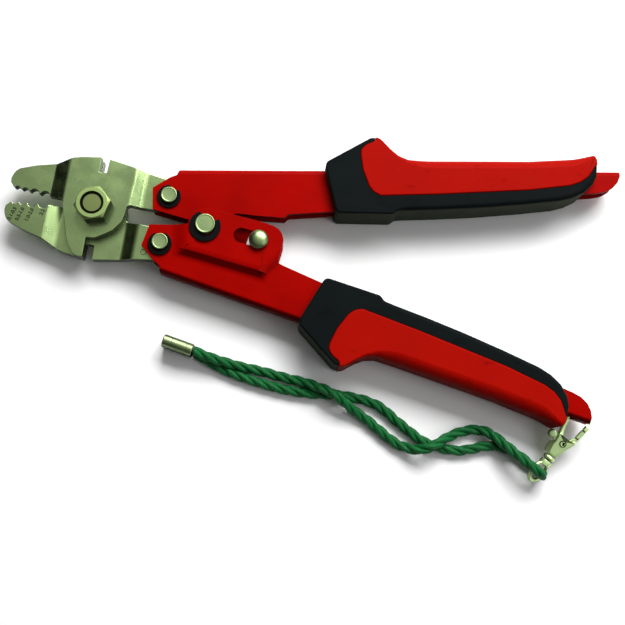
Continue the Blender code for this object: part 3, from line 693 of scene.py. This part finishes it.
def make_bolt(finish):
    side = HEX_FLATS / 2
    head = loose(plate(hexagon(), 0, BOLT_HEAD_Z))
    cone = [(0, 0), (side - 0.3, 0), (side + 1.2, 0.95), (side + 1.2, BOLT_HEAD_Z + 0.1), (0, BOLT_HEAD_Z + 0.1)]
    carve(head, loose(turned(cone, 96)), "INTERSECT")
    soft_edges(head, 0.15, 2, 40)
    bm = editable(head.data)
    bpy.data.objects.remove(head)
    around, rise = 48, 0.125
    levels = round((BOLT_END_Z - BOLT_HEAD_Z) / rise)
    rings = []
    for i in range(levels + 1):
        z = BOLT_HEAD_Z - 0.5 + (BOLT_END_Z - BOLT_HEAD_Z + 0.5) * i / levels
        ring = []
        for j in range(around):
            wave = (z / THREAD_PITCH - j / around) % 1.0
            groove = THREAD_DEPTH * (1 - abs(2 * wave - 1)) if z > NUT_LOW - 1.0 else 0.0
            cut = max(0.0, z - (BOLT_END_Z - 0.4))
            r = min(BOLT_R - groove, BOLT_R - cut)
            a = tau * j / around
            ring.append(bm.verts.new((r * cos(a), r * sin(a), z)))
        rings.append(ring)
    bolt = loose(skinned(bm, rings))
    piece(bolt, "pivot_bolt_threaded", "lower_jaw", finish, ("pivot_bolt",))


def make_nut(finish, dark):
    side = HEX_FLATS / 2
    cone = [(0, NUT_LOW), (side + 0.5, NUT_LOW), (side + 1.2, NUT_LOW + 0.5), (side + 1.2, NUT_HIGH - 0.95)]
    cone += [(side - 0.3, NUT_HIGH), (0, NUT_HIGH)]
    nut = loose(plate(hexagon(), NUT_LOW, NUT_HIGH), finish=finish)
    carve(nut, loose(turned(cone, 96)), "INTERSECT")
    soft_edges(nut, 0.12, 2, 40)
    # The bore's cone is near black: painted shade in the threaded hole.
    bore = [(0, NUT_LOW - 1), (BOLT_HOLE_R, NUT_LOW - 1), (BOLT_HOLE_R, NUT_HIGH - 1.0)]
    bore += [(BOLT_HOLE_R + 0.7, NUT_HIGH + 0.1), (0, NUT_HIGH + 0.1)]
    carve(nut, loose(turned(bore, 64), finish=dark))
    piece(nut, "pivot_nut_hexagon", "lower_jaw", finish, ("pivot_nut",))


# ---- handles

WALL = 1.8
EAR_RAISE = EAR_TOP - CHANNEL_TOP
WEB_FRONT, WEB_REAR = (-11.1, 24.0), (171.9, 25.5)
PIVOT_EAR_R, LOCK_EAR_R = 6.5, 7.0
PIVOT_HOLE_R = 3.95
SLOT_INNER, SLOT_OUTER, SLOT_R = (15.0, -0.7), (22.4, -1.15), 3.05
BURIED_EDGE = [(52.0, 6.6), (60.0, 8.6), (130.0, 12.0), (152.0, 14.6), (156.0, 15.3)]
TAB_END = [(161.2, 15.7), (165.2, 16.4), (168.4, 18.1), (170.5, 20.4), (171.6, 22.9), WEB_REAR]
NOSE = [(-12.1, 21.5), (-15.1, 20.3), (-21.8, 16.0), (-21.6, 6.8)]
EAR_SLOPES = (
    ((-12.3, 4.4), (0.937, -0.348), 4.8),
    ((13.0, 14.4), (-0.047, -0.999), 4.0),
    ((34.5, 3.8), (-0.91, -0.414), 3.5),
)
BEND_R = 2.3  # outside of the long bends of the sheet


def web_y(x):
    rise = (WEB_REAR[1] - WEB_FRONT[1]) / (WEB_REAR[0] - WEB_FRONT[0])
    return WEB_FRONT[1] + rise * (x - WEB_FRONT[0])


def climb(slope, x, y):
    """How far up one of the ear's slopes a point is: 0 at its foot and 1 at its top."""
    (px, py), (nx, ny), width = slope
    return ((x - px) * nx + (y - py) * ny) / width


def ear_lift(x, y):
    return EAR_RAISE * max(0.0, min(1.0, *(climb(slope, x, y) for slope in EAR_SLOPES)))


def ear_cuts():
    """Lines along which the ear's surface bends: each slope's foot and top, and the two mitres."""
    cuts = []
    for (px, py), (nx, ny), width in EAR_SLOPES:
        cuts += [((px, py), (nx, ny)), ((px + nx * width, py + ny * width), (nx, ny))]
    for first, second in zip(EAR_SLOPES, EAR_SLOPES[1:]):
        normal = Vector(first[1]) / first[2] - Vector(second[1]) / second[2]
        offset = climb(first, 0, 0) - climb(second, 0, 0)
        cuts.append((tuple(-normal * offset / normal.length_squared), tuple(normal)))
    return cuts


def make_channel(label, finish):
    side = SIDES[label]
    ear = label == "lower"
    if ear:
        lower = [(-8.2, 2.5)] + arc((0, 0), LOCK_EAR_R, 165, 262, 18)
        lower += [(18.9, -8.6), (23.7, -8.8)] + arc((25.6, -2.2), 6.6, -80, 0, 12) + [(32.5, 3.9), (33.2, 4.9)]
    else:
        lower = [(-7.9, 2.8)] + arc((0, 0), PIVOT_EAR_R, 155, 390, 32) + [(12.8, 5.4), (20.2, 4.5)]
        lower += [(31.9, 3.7), (33.6, 5.2)]
    outline = NOSE + lower + BURIED_EDGE + TAB_END + [WEB_FRONT]
    inside = [(-40, -30), (190, -30), (190, web_y(190) - WALL), (-40, web_y(-40) - WALL)]
    cuts = [((x, side * y), (nx, side * ny)) for (x, y), (nx, ny) in ear_cuts()] if ear else ()

    def top(x, y):
        return CHANNEL_TOP + (ear_lift(x, side * y) if ear else 0.0)

    def bottom(x, y):
        return TOTAL_Z - top(x, y)

    def bend(spot, along, angle):
        on_web = abs(side * spot.y - web_y(spot.x)) < 0.3 and abs(along.x) > 0.9
        if on_web and angle > 60:
            return 1.0
        return 0.55 if abs(along.z) < 0.5 and 8 < angle < 50 else 0.0

    channel = loose(plate(mirrored(outline, side), bottom, top, cuts), finish=finish)
    bevel(channel, BEND_R, 5, bend)
    soft_edges(channel, 0.22, 2, 55)
    hollow = plate(mirrored(inside, side), lambda x, y: bottom(x, y) + WALL, lambda x, y: top(x, y) - WALL, cuts)
    carve(channel, bevel(loose(hollow), BEND_R - WALL, 3, bend))
    toggle = turned_point((TOGGLES[side].x - PIVOT.x, TOGGLES[side].y * side), -HANDLE_SWING)
    hole(channel, (toggle[0], side * toggle[1]), TOGGLE_HOLE_R, TOTAL_Z - CHANNEL_TOP, CHANNEL_TOP)
    ear_top = EAR_TOP if ear else CHANNEL_TOP
    hole(channel, (0, 0), PIVOT_HOLE_R, TOTAL_Z - ear_top, ear_top)
    if ear:
        track = arc(SLOT_INNER, SLOT_R, 86, 266, 20) + arc(SLOT_OUTER, SLOT_R, -94, 86, 20)
        slot = loose(plate(mirrored(track, side), CHANNEL_TOP - 1.0, EAR_TOP + 1))
        carve(channel, slot)
        for near, far in ((161.3, 165.4), (169.8, 175.0)):
            window = filleted(box(near, 20, far, 28), 0.5)
            carve(channel, loose(plate(mirrored(window, side), 6.5, 11.5)))
    name = label + "_handle_channel"
    piece(channel, label + "_handle_pressing", label + "_handle", finish, (name,), HANDLE_FRAMES[side])


def make_pin(name, body, finish, node, radius, head_r, low, head_thick, groove, high):
    """A headed pin with a groove for its clip; groove is the height of the groove's two sides."""
    neck, crown = radius - 0.45, radius + 0.15
    profile = [(0, low), (head_r, low), (head_r, low + head_thick), (radius, low + head_thick)]
    profile += [(radius, groove[0]), (neck, groove[0]), (neck, groove[1]), (crown, groove[1])]
    profile += [(crown, high), (crown - 0.55, high), (crown - 0.7, high - 0.07), (0, high - 0.07)]
    place = set_at(*middle(node).xy, 0)
    piece(loose(turned(eased(profile, 0.2), 64), place), name, body, finish, (node,))


def make_clip(name, body, finish, node, outer, inner, low, high, opening, half):
    """An E-clip: three prongs on its inside, and a gap in the given direction in degrees."""
    relief = inner + 0.15 * (outer - inner)
    outline = arc((0, 0), outer, opening + half, opening + 360 - half, 56)
    prongs = ((360 - half, 338 - half, inner), (270, 206, relief), (196, 164, inner), (154, 90, relief))
    for start, end, radius in (*prongs, (half + 22, half, inner)):
        steps = max(3, round(abs(end - start) / 7))
        outline += arc((0, 0), radius, opening + start, opening + end, steps)
    clip = soft_edges(loose(plate(filleted(outline, 0.25, 20.0), low, high)), 0.13, 2, 60)
    place = set_at(*middle(node).xy, 0)
    piece(clip, name, body, finish, (node,), place)


def make_fasteners(bright, black):
    toggle_pin, pivot_pin = (3.1, 4.5, 3.1, 1.45), (3.8, 5.5, 0.9, 1.55)
    toggle_groove = (CHANNEL_TOP + 0.05, CHANNEL_TOP + 1.0)
    pivot_groove = (EAR_TOP + 0.05, EAR_TOP + 1.05)
    play = 0.08  # between a clip and each side of its groove
    rows = (
        ("upper_toggle", "upper_handle", toggle_pin, toggle_groove, 15.6, (4.8, 2.75), 71.0, 24.0),
        ("lower_toggle", "lower_handle", toggle_pin, toggle_groove, 15.6, (4.8, 2.75), 99.0, 24.0),
        ("handle_pivot", "lower_handle", pivot_pin, pivot_groove, 17.8, (6.4, 3.45), 77.0, 40.0),
    )
    for name, body, pin, (low, high), end, ring, opening, half in rows:
        make_pin(name + "_rivet", body, bright, name + "_pin", *pin, (low, high), end)
        clip = (*ring, low + play, high - play, opening, half)
        make_clip(name + "_e_clip", body, black, name + "_clip", *clip)


def make_lock(finish, black):
    low, shoulder, seat, top = 6.9, 13.3, EAR_TOP + 0.25, 18.6
    rim = seat + 0.9
    turns = [radians(6 * k) for k in range(15)]
    crown = [(4.0 * cos(a), rim + (top - rim) * sin(a)) for a in turns]
    profile = [(0, low), (1.5, low), (1.8, low + 0.4), (1.8, shoulder), (2.75, shoulder), (2.75, seat), (3.7, seat)]
    place = set_at(*LOCK_AT, 0)
    button = loose(turned(profile + crown + [(0, top)], 64), place)
    piece(button, "lock_button_dome", "lock", finish, ("lock_button",))
    strip = filleted(box(-4.4, -2.55, 4.4, 4.4), 1.2)
    washer = soft_edges(loose(plate(mirrored(strip, -1)[::-1], 12.25, 13.15)), 0.12, 2, 60)
    hole(washer, (0, 0), 1.95, 12.25, 13.15, 0.1)
    turn = Matrix.Rotation(-HANDLE_SWING, 4, "Z")
    piece(washer, "lock_button_shim", "lock", black, ("lock_button_washer",), place @ turn)


def make_spring(finish):
    """The torsion spring round the handle pivot pin, with one leg on each handle's web."""
    wire, mean_r, turns, low = 0.6, 5.6, 2, 7.35
    reach, lean = 27.0, radians(35)
    start = radians(-90) - HANDLE_SWING - lean
    end = radians(90 - 360 * (turns + 1)) + HANDLE_SWING + lean
    steps = 200
    points = []
    for i in range(steps + 1):
        a = start + (end - start) * i / steps
        height = low + (TOTAL_Z - 2 * low) * i / steps
        points.append(Vector((mean_r * cos(a), mean_r * sin(a), height)))
    inwards, outwards = Vector((-sin(start), cos(start), 0)), Vector((sin(end), -cos(end), 0))
    leg = [reach * (1 - k / 12) for k in range(12)]
    points = [points[0] + inwards * d for d in leg] + points + [points[-1] + outwards * d for d in leg[::-1]]
    spring = loose(tube(bmesh.new(), points, wire, 12), Matrix.Translation(PIVOT))
    piece(spring, "opening_spring_wire", None, finish, ("opening_spring",), sharp=60)
    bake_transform(spring)


# ---- grips

GRIP_OUTLINE = [
    (52.9, 4.8), (76.0, 4.6), (78.2, 6.2), (95.2, 6.8), (112.0, 7.8), (130.0, 9.4), (145.0, 11.1), (150.4, 12.5),
    (155.3, 14.9), (159.0, 18.6), (160.7, 22.0), (161.1, 26.0), (161.0, 28.8), (160.2, 30.7), (155.0, 29.8),
    (133.0, 28.5), (82.5, 28.0), (78.4, 29.4), (75.0, 32.2), (71.6, 35.9), (70.0, 36.9), (67.2, 37.0), (49.1, 26.6),
    (48.5, 24.3),
]
INLAY_OUTLINE = [
    (70.9, 12.2), (95.3, 13.1), (132.5, 15.3), (149.0, 17.4), (153.4, 18.9), (156.8, 21.3), (159.0, 24.4),
    (160.3, 26.6), (163.0, 27.6), (163.0, 45.0), (70.0, 45.0), (69.2, 35.6), (65.2, 33.9), (63.2, 31.9),
    (62.9, 29.6), (63.8, 23.1), (66.3, 16.0), (68.1, 13.7),
]
BACK_ROUND, FRONT_ROUND = 5.0, 0.9
SEAM = 0.12
INLAY_PROUD = 0.25


def eased_step(low, high, value):
    t = max(0.0, min(1.0, (value - low) / (high - low)))
    return t * t * (3 - 2 * t)


def grip_round(x, y):
    """Radius of the grip's edge: large along the palm, small round the collar and along the fingers."""
    palm = eased_step(22.0, 26.0, y) * eased_step(74.0, 92.0, x) * eased_step(161.0, 150.0, x)
    fingers = 0.25 * eased_step(76.0, 84.0, x)
    return FRONT_ROUND + (BACK_ROUND - FRONT_ROUND) * max(palm, fingers)


def grip_blank(side, finish, proud):
    outline = grown(filleted(GRIP_OUTLINE, 2.6), proud)
    blank = cushioned(outline, grip_round, -proud, TOTAL_Z + proud)
    return loose(blank, Matrix.Diagonal((1, side, 1, 1)), finish)


def make_grip(label, rubber, red):
    side = SIDES[label]
    region = filleted(INLAY_OUTLINE, 2.2)
    base = grip_blank(side, rubber, 0.0)
    carve(base, loose(plate(mirrored(grown(region, SEAM), side), -3, TOTAL_Z + 3)))
    lid = cushioned(region, lambda _x, _y: 0.6, -0.8 * INLAY_PROUD, TOTAL_Z + 0.8 * INLAY_PROUD, steps=4)
    lid = loose(lid, Matrix.Diagonal((1, side, 1, 1)))
    inlay = carve(grip_blank(side, red, INLAY_PROUD), lid, "INTERSECT")
    gap = 0.2
    edge = [(x, y - gap) for x, y in [(40.0, 6.6)] + BURIED_EDGE + [(176.0, 17.0)]]
    pocket = edge + [(176.0, web_y(176.0) + gap), (40.0, web_y(40.0) + gap)]
    for part, name, slot_name, finish in ((base, "base", "black_rubber", rubber), (inlay, "inlay", "red_rubber", red)):
        carve(part, loose(plate(mirrored(pocket, side), TOTAL_Z - CHANNEL_TOP - gap, CHANNEL_TOP + gap)))
        body, node, shown = (label + end for end in ("_handle", "_grip_" + name, "_grip_moulded_" + name))
        piece(part, shown, body, finish, (node,), HANDLE_FRAMES[side], 40)


# ---- rope

# The doubled rope from the ferrule's end through the eye and back: x, y, z.
ROPE_ROUTE = [
    (49.6, -50.3, 6.7), (57.9, -51.9, 5.6), (67.9, -52.9, 3.2), (77.8, -53.4, 2.4), (88.0, -54.4, 2.3),
    (97.0, -55.2, 3.6), (104.8, -56.9, 6.2), (109.5, -58.6, 6.9), (113.5, -60.9, 5.6), (118.0, -63.2, 3.2),
    (123.7, -65.9, 2.3), (134.5, -72.2, 2.3), (140.0, -74.0, 2.8), (145.2, -74.3, 5.2), (149.2, -72.9, 6.9),
    (152.6, -70.6, 6.2), (156.6, -67.4, 3.4), (161.0, -64.6, 2.3), (166.0, -62.6, 2.3), (170.5, -62.2, 3.2),
    (175.0, -63.9, 5.2), (183.9, -69.5, 8.3), (188.2, -72.1, 9.3), (191.4, -74.0, 9.5), (194.1, -75.5, 8.8),
    (195.9, -76.1, 7.0), (196.0, -75.7, 4.9), (195.0, -74.7, 3.1), (192.6, -73.1, 2.2), (184.8, -68.9, 2.2),
    (175.0, -67.6, 2.2), (161.6, -71.8, 2.2), (148.6, -70.9, 2.2), (136.8, -65.0, 2.2), (126.0, -59.0, 2.2),
    (112.0, -57.6, 2.2), (96.0, -59.2, 2.2), (80.0, -58.4, 2.2), (64.0, -55.6, 2.2), (49.6, -50.6, 2.2),
]
ROPE_R = 2.1
ROPE_LAY = 18.0  # length of one full turn of a strand
ROPE_STRANDS = 3
STRAND_R = 1.16
STRAND_OFFSET = ROPE_R - STRAND_R + 0.06
STRAND_SLOPE = atan(tau * STRAND_OFFSET / ROPE_LAY)
ROPE_STEP = 0.4
YARNS = 7


def catmull_rom(route, count):
    """Evenly numbered points on a smooth curve through the route's points."""
    spots = [Vector(point) for point in route]
    ends = [2 * spots[0] - spots[1]] + spots + [2 * spots[-1] - spots[-2]]
    found = []
    for i in range(count):
        place = i * (len(spots) - 1) / (count - 1)
        k = min(int(place), len(spots) - 2)
        t = place - k
        a, b, c, d = ends[k : k + 4]
        found.append(0.5 * (2 * b + (c - a) * t + (2 * a - 5 * b + 4 * c - d) * t * t + (3 * b - a - 3 * c + d) * t**3))
    return found


def evenly(points, step):
    """(points step apart along the line, its length)"""
    lengths = [0.0]
    for first, second in zip(points, points[1:]):
        lengths.append(lengths[-1] + (second - first).length)
    count = round(lengths[-1] / step)
    found, k = [], 0
    for i in range(count + 1):
        want = lengths[-1] * i / count
        while k < len(points) - 2 and lengths[k + 1] < want:
            k += 1
        t = (want - lengths[k]) / (lengths[k + 1] - lengths[k])
        found.append(points[k].lerp(points[k + 1], min(1.0, t)))
    return found, lengths[-1]


def make_rope(finish):
    line, length = evenly(catmull_rom(ROPE_ROUTE, 3000), ROPE_STEP)
    normal = Vector((0, 0, 1))
    frames = []
    for i, point in enumerate(line):
        along = (line[min(i + 1, len(line) - 1)] - line[max(i - 1, 0)]).normalized()
        normal = (normal - along * normal.dot(along)).normalized()
        frames.append((point, along, normal.copy()))
    bm = bmesh.new()
    uv = bm.loops.layers.uv.new("strand")
    around = 28
    for strand in range(ROPE_STRANDS):
        rings = []
        for i, (point, along, normal) in enumerate(frames):
            phase = tau * (i * ROPE_STEP / ROPE_LAY + strand / ROPE_STRANDS)
            across = along.cross(normal)
            out = normal * cos(phase) + across * sin(phase)
            side = along.cross(out) * cos(STRAND_SLOPE) - along * sin(STRAND_SLOPE)
            centre = point + out * STRAND_OFFSET
            ring = []
            for j in range(around):
                a = tau * j / around
                yarn = cos(YARNS * a - 2.2 * phase)
                r = STRAND_R * (0.965 + 0.05 * yarn - 0.05 * max(0.0, -cos(a)))
                ring.append(bm.verts.new(centre + r * (out * cos(a) + side * sin(a))))
            rings.append(ring)
        for i, (near, far) in enumerate(zip(rings, rings[1:])):
            for j in range(around):
                k = (j + 1) % around
                face = bm.faces.new([near[j], near[k], far[k], far[j]])
                spots = ((i, j), (i, j + 1), (i + 1, j + 1), (i + 1, j))
                for loop, (u, v) in zip(face.loops, spots):
                    twist = 2.2 * u * ROPE_STEP / ROPE_LAY / YARNS
                    loop[uv].uv = (u * ROPE_STEP, v / around - twist + strand)
        bm.faces.new(rings[0][::-1])
        bm.faces.new(rings[-1])
    rope = piece(loose(bm), "green_rope", "swivel", finish, ("lanyard_rope",), sharp=60.0)
    return rope, line, length


# ---- snap and ferrule
# In the snap's own frame X runs from the ring's centre to the swivel, Y to the gate's side, and Z up.

SNAP_HEADING, SNAP_DIP = radians(-120.1), radians(11.4)
SNAP_TURN = Matrix.Rotation(SNAP_HEADING, 4, "Z") @ Matrix.Rotation(SNAP_DIP, 4, "Y")
RIVET_IN_SNAP = Vector((12.0, 1.0, 0.0))
SNAP_FRAME = Matrix.Translation(RIVET_AT - SNAP_TURN @ RIVET_IN_SNAP) @ SNAP_TURN
SWIVEL_Y = 0.7
EYE_X, EYE_LONG, EYE_WIDE, EYE_WIRE = 26.8, 4.4, 3.9, 0.7
EYE_ROLL = radians(-42)


def spline(stations, per=8):
    """Smooth points with a radius through (x, y, radius) stations in a plane."""
    line = catmull_rom(stations, per * (len(stations) - 1) + 1)
    return [Vector((p.x, p.y, 0)) for p in line], [p.z for p in line]


def make_snap_body(finish, dark):
    stations = [(10.6, -1.4, 1.3), (9.0, -2.1, 1.1), (7.5, -2.6, 0.95), (5.5, -3.1, 0.9), (3.6, -3.6, 0.9)]
    stations += [(1.5, -4.2, 0.95), (-0.8, -4.3, 1.0), (-2.6, -3.3, 0.95), (-3.6, -1.6, 0.95), (-3.7, 0.2, 0.95)]
    stations += [(-3.2, 1.7, 0.95), (-2.2, 2.9, 0.95), (-1.1, 3.75, 0.95), (-0.5, 4.05, 0.88)]
    line, radii = spline(stations)
    hook = loose(tube(bmesh.new(), line, lambda i, _a: radii[i], 20), finish=finish)
    edge = [(9.0, -2.9), (13.0, -2.1), (14.0, -3.55), (17.3, -2.9), (18.4, -2.4), (18.4, 2.3), (13.4, 3.6), (9.4, 5.0)]
    edge += [(8.2, 4.9), (8.3, 3.9), (9.6, 2.5), (10.2, 1.0), (9.9, -0.4), (8.6, -1.6)]
    ridge = Vector((0.229, -0.973))

    def face(x, y):
        return 2.0 - 1.15 * max(0.0, (Vector((x, y)) - Vector((10.3, -2.75))).dot(ridge))

    block = loose(plate(filleted(edge, 0.6), -2.0, face, [((10.3, -2.75), tuple(ridge))]), finish=finish)
    bevel(block, 0.7, 5, lambda _spot, along, angle: 1.0 if abs(along.z) < 0.1 and angle > 60 else 0.0)
    carve(block, hook, "UNION")
    space = [(0.3, 2.9), (0.3, 9.0), (12.0, 9.0), (14.0, 3.4), (14.2, 0.6), (14.0, -9.0), (9.4, -9.0)]
    space += [(9.7, -3.0), (10.1, -0.4), (8.7, 1.6)]
    carve(block, loose(plate(space, -0.95, 0.95)))
    carve(block, loose(plate(box(6.0, 2.3, 9.3, 9.0), -1.3, 1.3)))
    # The swivel's slot and bore are lined with painted shade.
    carve(block, loose(plate(box(15.1, SWIVEL_Y - 1.7, 16.4, SWIVEL_Y + 1.7), -3.0, 1.7), finish=dark))
    hole(block, RIVET_IN_SNAP.xy, 0.95, -2.0, 2.0, 0.15, 32)
    bore = turned(rod(1.1, 16.0, 24.0), 32, along_x=True)
    carve(block, loose(bore, set_at(0, SWIVEL_Y, 0), dark))
    piece(block, "snap_hook_cast", "snap", finish, ("snap_hook_body",), SNAP_FRAME)


def make_gate(finish, dark):
    """The sleeve with two grooves, the cheek round the rivet, and the thumb lever's knob.

    The sleeve starts clear of the hook's nose, so that the two stay apart when the gate opens.
    """
    tilt = set_at(0, 4.7, 0) @ Matrix.Rotation(radians(-3.5), 4, "Z")
    sleeve = [(0, 0.6), (0.95, 0.65), (1.05, 0.95), (1.05, 2.5), (0.72, 2.6), (0.72, 3.0), (1.05, 3.1)]
    sleeve += [(1.05, 6.6), (0.72, 6.7), (0.72, 7.1), (1.0, 7.2), (1.0, 8.6), (0, 8.7)]
    gate = loose(turned(sleeve, 32, along_x=True), tilt, finish)
    # The bottoms of the grooves are near black: painted shade in the grooves.
    for start in (2.62, 6.72):
        groove = turned(rod(0.76, start, start + 0.36), 32, along_x=True)
        carve(gate, loose(groove, tilt, dark), "UNION")
    cheek = [(7.4, 3.2), (9.3, 2.2), (10.4, 0.2), (10.2, -3.0), (10.4, -4.6), (12.2, -4.8), (12.9, -2.6)]
    cheek += [(13.8, -0.2), (13.7, 1.6), (12.0, 3.4), (8.9, 4.6), (7.4, 4.6)]
    arm = loose(plate(filleted(cheek, 0.8), -0.8, 0.8), finish=finish)
    soft_edges(arm, 0.25, 3, 60)
    carve(gate, arm, "UNION")
    knob = eased(rod(1.65, -2.2, 2.2), 0.6, 5)
    carve(gate, loose(turned(knob, 40), set_at(11.25, -4.6, 0), finish), "UNION")
    hole(gate, RIVET_IN_SNAP.xy, 0.95, -0.8, 0.8, 0.1, 32)
    piece(gate, "snap_gate_sleeve", "snap_gate_arm", finish, ("snap_gate",), SNAP_FRAME)


def make_snap_rivet(finish, bright, dark):
    profile = [(0, -2.4), (1.3, -2.4), (1.45, -2.2), (1.45, -2.02), (0.8, -2.02), (0.8, 2.02)]
    profile += [(1.45, 2.02), (1.45, 2.2), (1.3, 2.4), (0, 2.4)]
    rivet = loose(turned(eased(profile, 0.08, 3), 40), finish=finish)
    carve(rivet, loose(turned([(0, 2.2), (0.85, 2.2), (1.1, 2.5), (0, 2.5)], 40), finish=bright))
    # The slot is lined with painted shade.
    slot = plate(box(-0.8, -0.45, 0.8, 0.45), 1.6, 3.0)
    carve(rivet, loose(slot, set_at(0.1, 0.3, 0) @ Matrix.Rotation(0.5, 4, "Z"), dark))
    place = SNAP_FRAME @ Matrix.Translation(RIVET_IN_SNAP)
    piece(rivet, "snap_rivet_slotted", "snap", finish, ("snap_rivet",), place)


def make_swivel(finish):
    post = [(0, 15.3), (1.5, 15.3), (1.5, 16.2), (0.9, 16.2), (0.9, 18.7)]
    turns = [radians(18 * k) for k in range(1, 10)]
    bead = [(1.3 + 1.3 * sin(a), 19.75 - 1.1 * cos(a)) for a in turns]
    barrel = [(1.3, 20.9), (1.3, 21.1), (2.3, 21.15), (2.45, 21.65), (2.45, 23.1), (2.1, 23.5), (0, 23.6)]
    eye = loose(turned(post + bead + barrel, 40, along_x=True), finish=finish)
    spots = [tau * i / 72 for i in range(72)]
    ring = [Vector((EYE_X + EYE_LONG * cos(a), EYE_WIDE * sin(a), 0)) for a in spots]
    loop = loose(tube(bmesh.new(), ring, EYE_WIRE, 16, closed=True), Matrix.Rotation(EYE_ROLL, 4, "X"), finish)
    carve(eye, loop, "UNION")
    place = SNAP_FRAME @ set_at(0, SWIVEL_Y, 0)
    piece(eye, "swivel_eye_turned", "swivel", finish, ("swivel_eye",), place)


FERRULE_START, FERRULE_END = Vector((36.8, -48.05, 0.0)), Vector((49.05, -50.3, 0.0))
FERRULE_R, FERRULE_LOW, FERRULE_STRAIGHT, FERRULE_WALL = 2.6, 2.65, 4.5, 0.6


def make_ferrule(finish, green):
    """A crimped oval tube that stands on its narrow side, and the cut rope ends inside its open end."""
    length = (FERRULE_END - FERRULE_START).length
    heading = atan2(FERRULE_END.y - FERRULE_START.y, FERRULE_END.x - FERRULE_START.x)
    place = Matrix.Translation(FERRULE_START) @ Matrix.Rotation(heading, 4, "Z")
    upper = FERRULE_LOW + FERRULE_STRAIGHT

    def section(x, radius):
        low_arc = arc((FERRULE_LOW, 0), radius, 90, 270, 16)
        return [Vector((x, y, z)) for z, y in low_arc + arc((upper, 0), radius, -90, 90, 16)]

    def oval(start, end, radius, dents=()):
        bm = bmesh.new()
        rings = []
        steps = 80
        for i in range(steps + 1):
            x = start + (end - start) * i / steps
            edge = max(0.0, 0.3 - min(x - start, end - x))
            dip = sum(0.09 * exp(-(((x - d) / 0.3) ** 2)) for d in dents)
            rings.append([bm.verts.new(p) for p in section(x, radius - 0.6 * edge - dip)])
        return skinned(bm, rings)

    tube_body = loose(oval(0.0, length, FERRULE_R, (3.4, 9.6)), finish=finish)
    carve(tube_body, loose(oval(-1.0, 2.6, FERRULE_R - FERRULE_WALL)))
    ferrule = piece(tube_body, "ferrule_crimped", "swivel", finish, ("lanyard_ferrule",), place)
    ends = bmesh.new()
    for height in (FERRULE_LOW - 0.1, upper + 0.1):
        tube(ends, [Vector((x, 0, height)) for x in (1.2, 1.5, 2.0, 2.8)], lambda i, _a: 1.5 if i == 0 else 1.9, 24)
    cut = piece(loose(ends), "rope_cut_ends", "swivel", green, (), place)
    return [ferrule, cut]


# ---- assembly


def main():
    make_camera()
    make_stage()
    steel = ground_steel("jaw_steel", (0.36, 0.50, 0.215), (0.25, 0.35, 0.14))
    bright = ground_steel("plated_steel", (0.27, 0.37, 0.17), (0.18, 0.24, 0.10), (0.3, 0.42), (1, 1, 1))
    tarnished = ground_steel("tarnished_steel", (0.36, 0.49, 0.18), (0.14, 0.19, 0.06), (0.35, 0.5), (1, 1, 1))
    black_steel = ground_steel("black_steel", (0.007, 0.008, 0.008), (0.004, 0.004, 0.004), (0.35, 0.5))
    worn = ground_steel("worn_bolt_end", (0.19, 0.24, 0.09), (0.09, 0.11, 0.035), (0.4, 0.55), (1, 1, 1))
    paint = painted("red_paint", (0.285, 0.0011, 0.0001), (0.21, 0.0008, 0.0001))
    # The black rubber's third colour makes its upright sides lighter.
    black = (0.0042, 0.0062, 0.0062), (0.003, 0.0045, 0.0045), (0.03, 0.036, 0.024)
    rubber = moulded("black_rubber", *black, 0.55, 0.02)
    # The red rubber's third colour is painted shade for its upright sides.
    red = (0.30, 0.0026, 0.0002), (0.26, 0.002, 0.0002), (0.16, 0.0012, 0.0003)
    red_rubber = moulded("red_rubber", *red, 0.5, 0.015)
    nickel = ground_steel("nickel", (0.70, 0.94, 0.44), (0.46, 0.63, 0.27), (0.36, 0.48), (1, 1, 1), 0.9)
    rivet_steel = new_material("rivet_steel", (0.05, 0.06, 0.03), 0.6, 0.6)[0]
    spring_steel = ground_steel("spring_steel", (0.4, 0.4, 0.38), (0.25, 0.25, 0.23))
    aluminium = ground_steel("aluminium", (0.24, 0.33, 0.15), (0.14, 0.19, 0.08), (0.35, 0.5))
    green = rope_fibre("green_rope", (0.004, 0.15, 0.032), (0.0015, 0.05, 0.011))

    # A near-black material for stamped marks, slots, grooves and bores: painted shade in recesses.
    recess_shade = ground_steel("painted_recess_shade", (0.03, 0.03, 0.025), (0.015, 0.015, 0.012), (0.5, 0.6))
    rope, line, length = make_rope(green)
    make_jaw("upper", steel, recess_shade)
    make_jaw("lower", steel, recess_shade)
    make_bolt(worn)
    make_nut(tarnished, recess_shade)
    for label in SIDES:
        make_channel(label, paint)
        make_grip(label, rubber, red_rubber)
    make_fasteners(bright, black_steel)
    make_lock(bright, black_steel)
    make_spring(spring_steel)
    make_snap_body(nickel, recess_shade)
    make_gate(nickel, recess_shade)
    make_snap_rivet(rivet_steel, nickel, recess_shade)
    make_swivel(nickel)
    on_rope = make_ferrule(aluminium, green)


main()
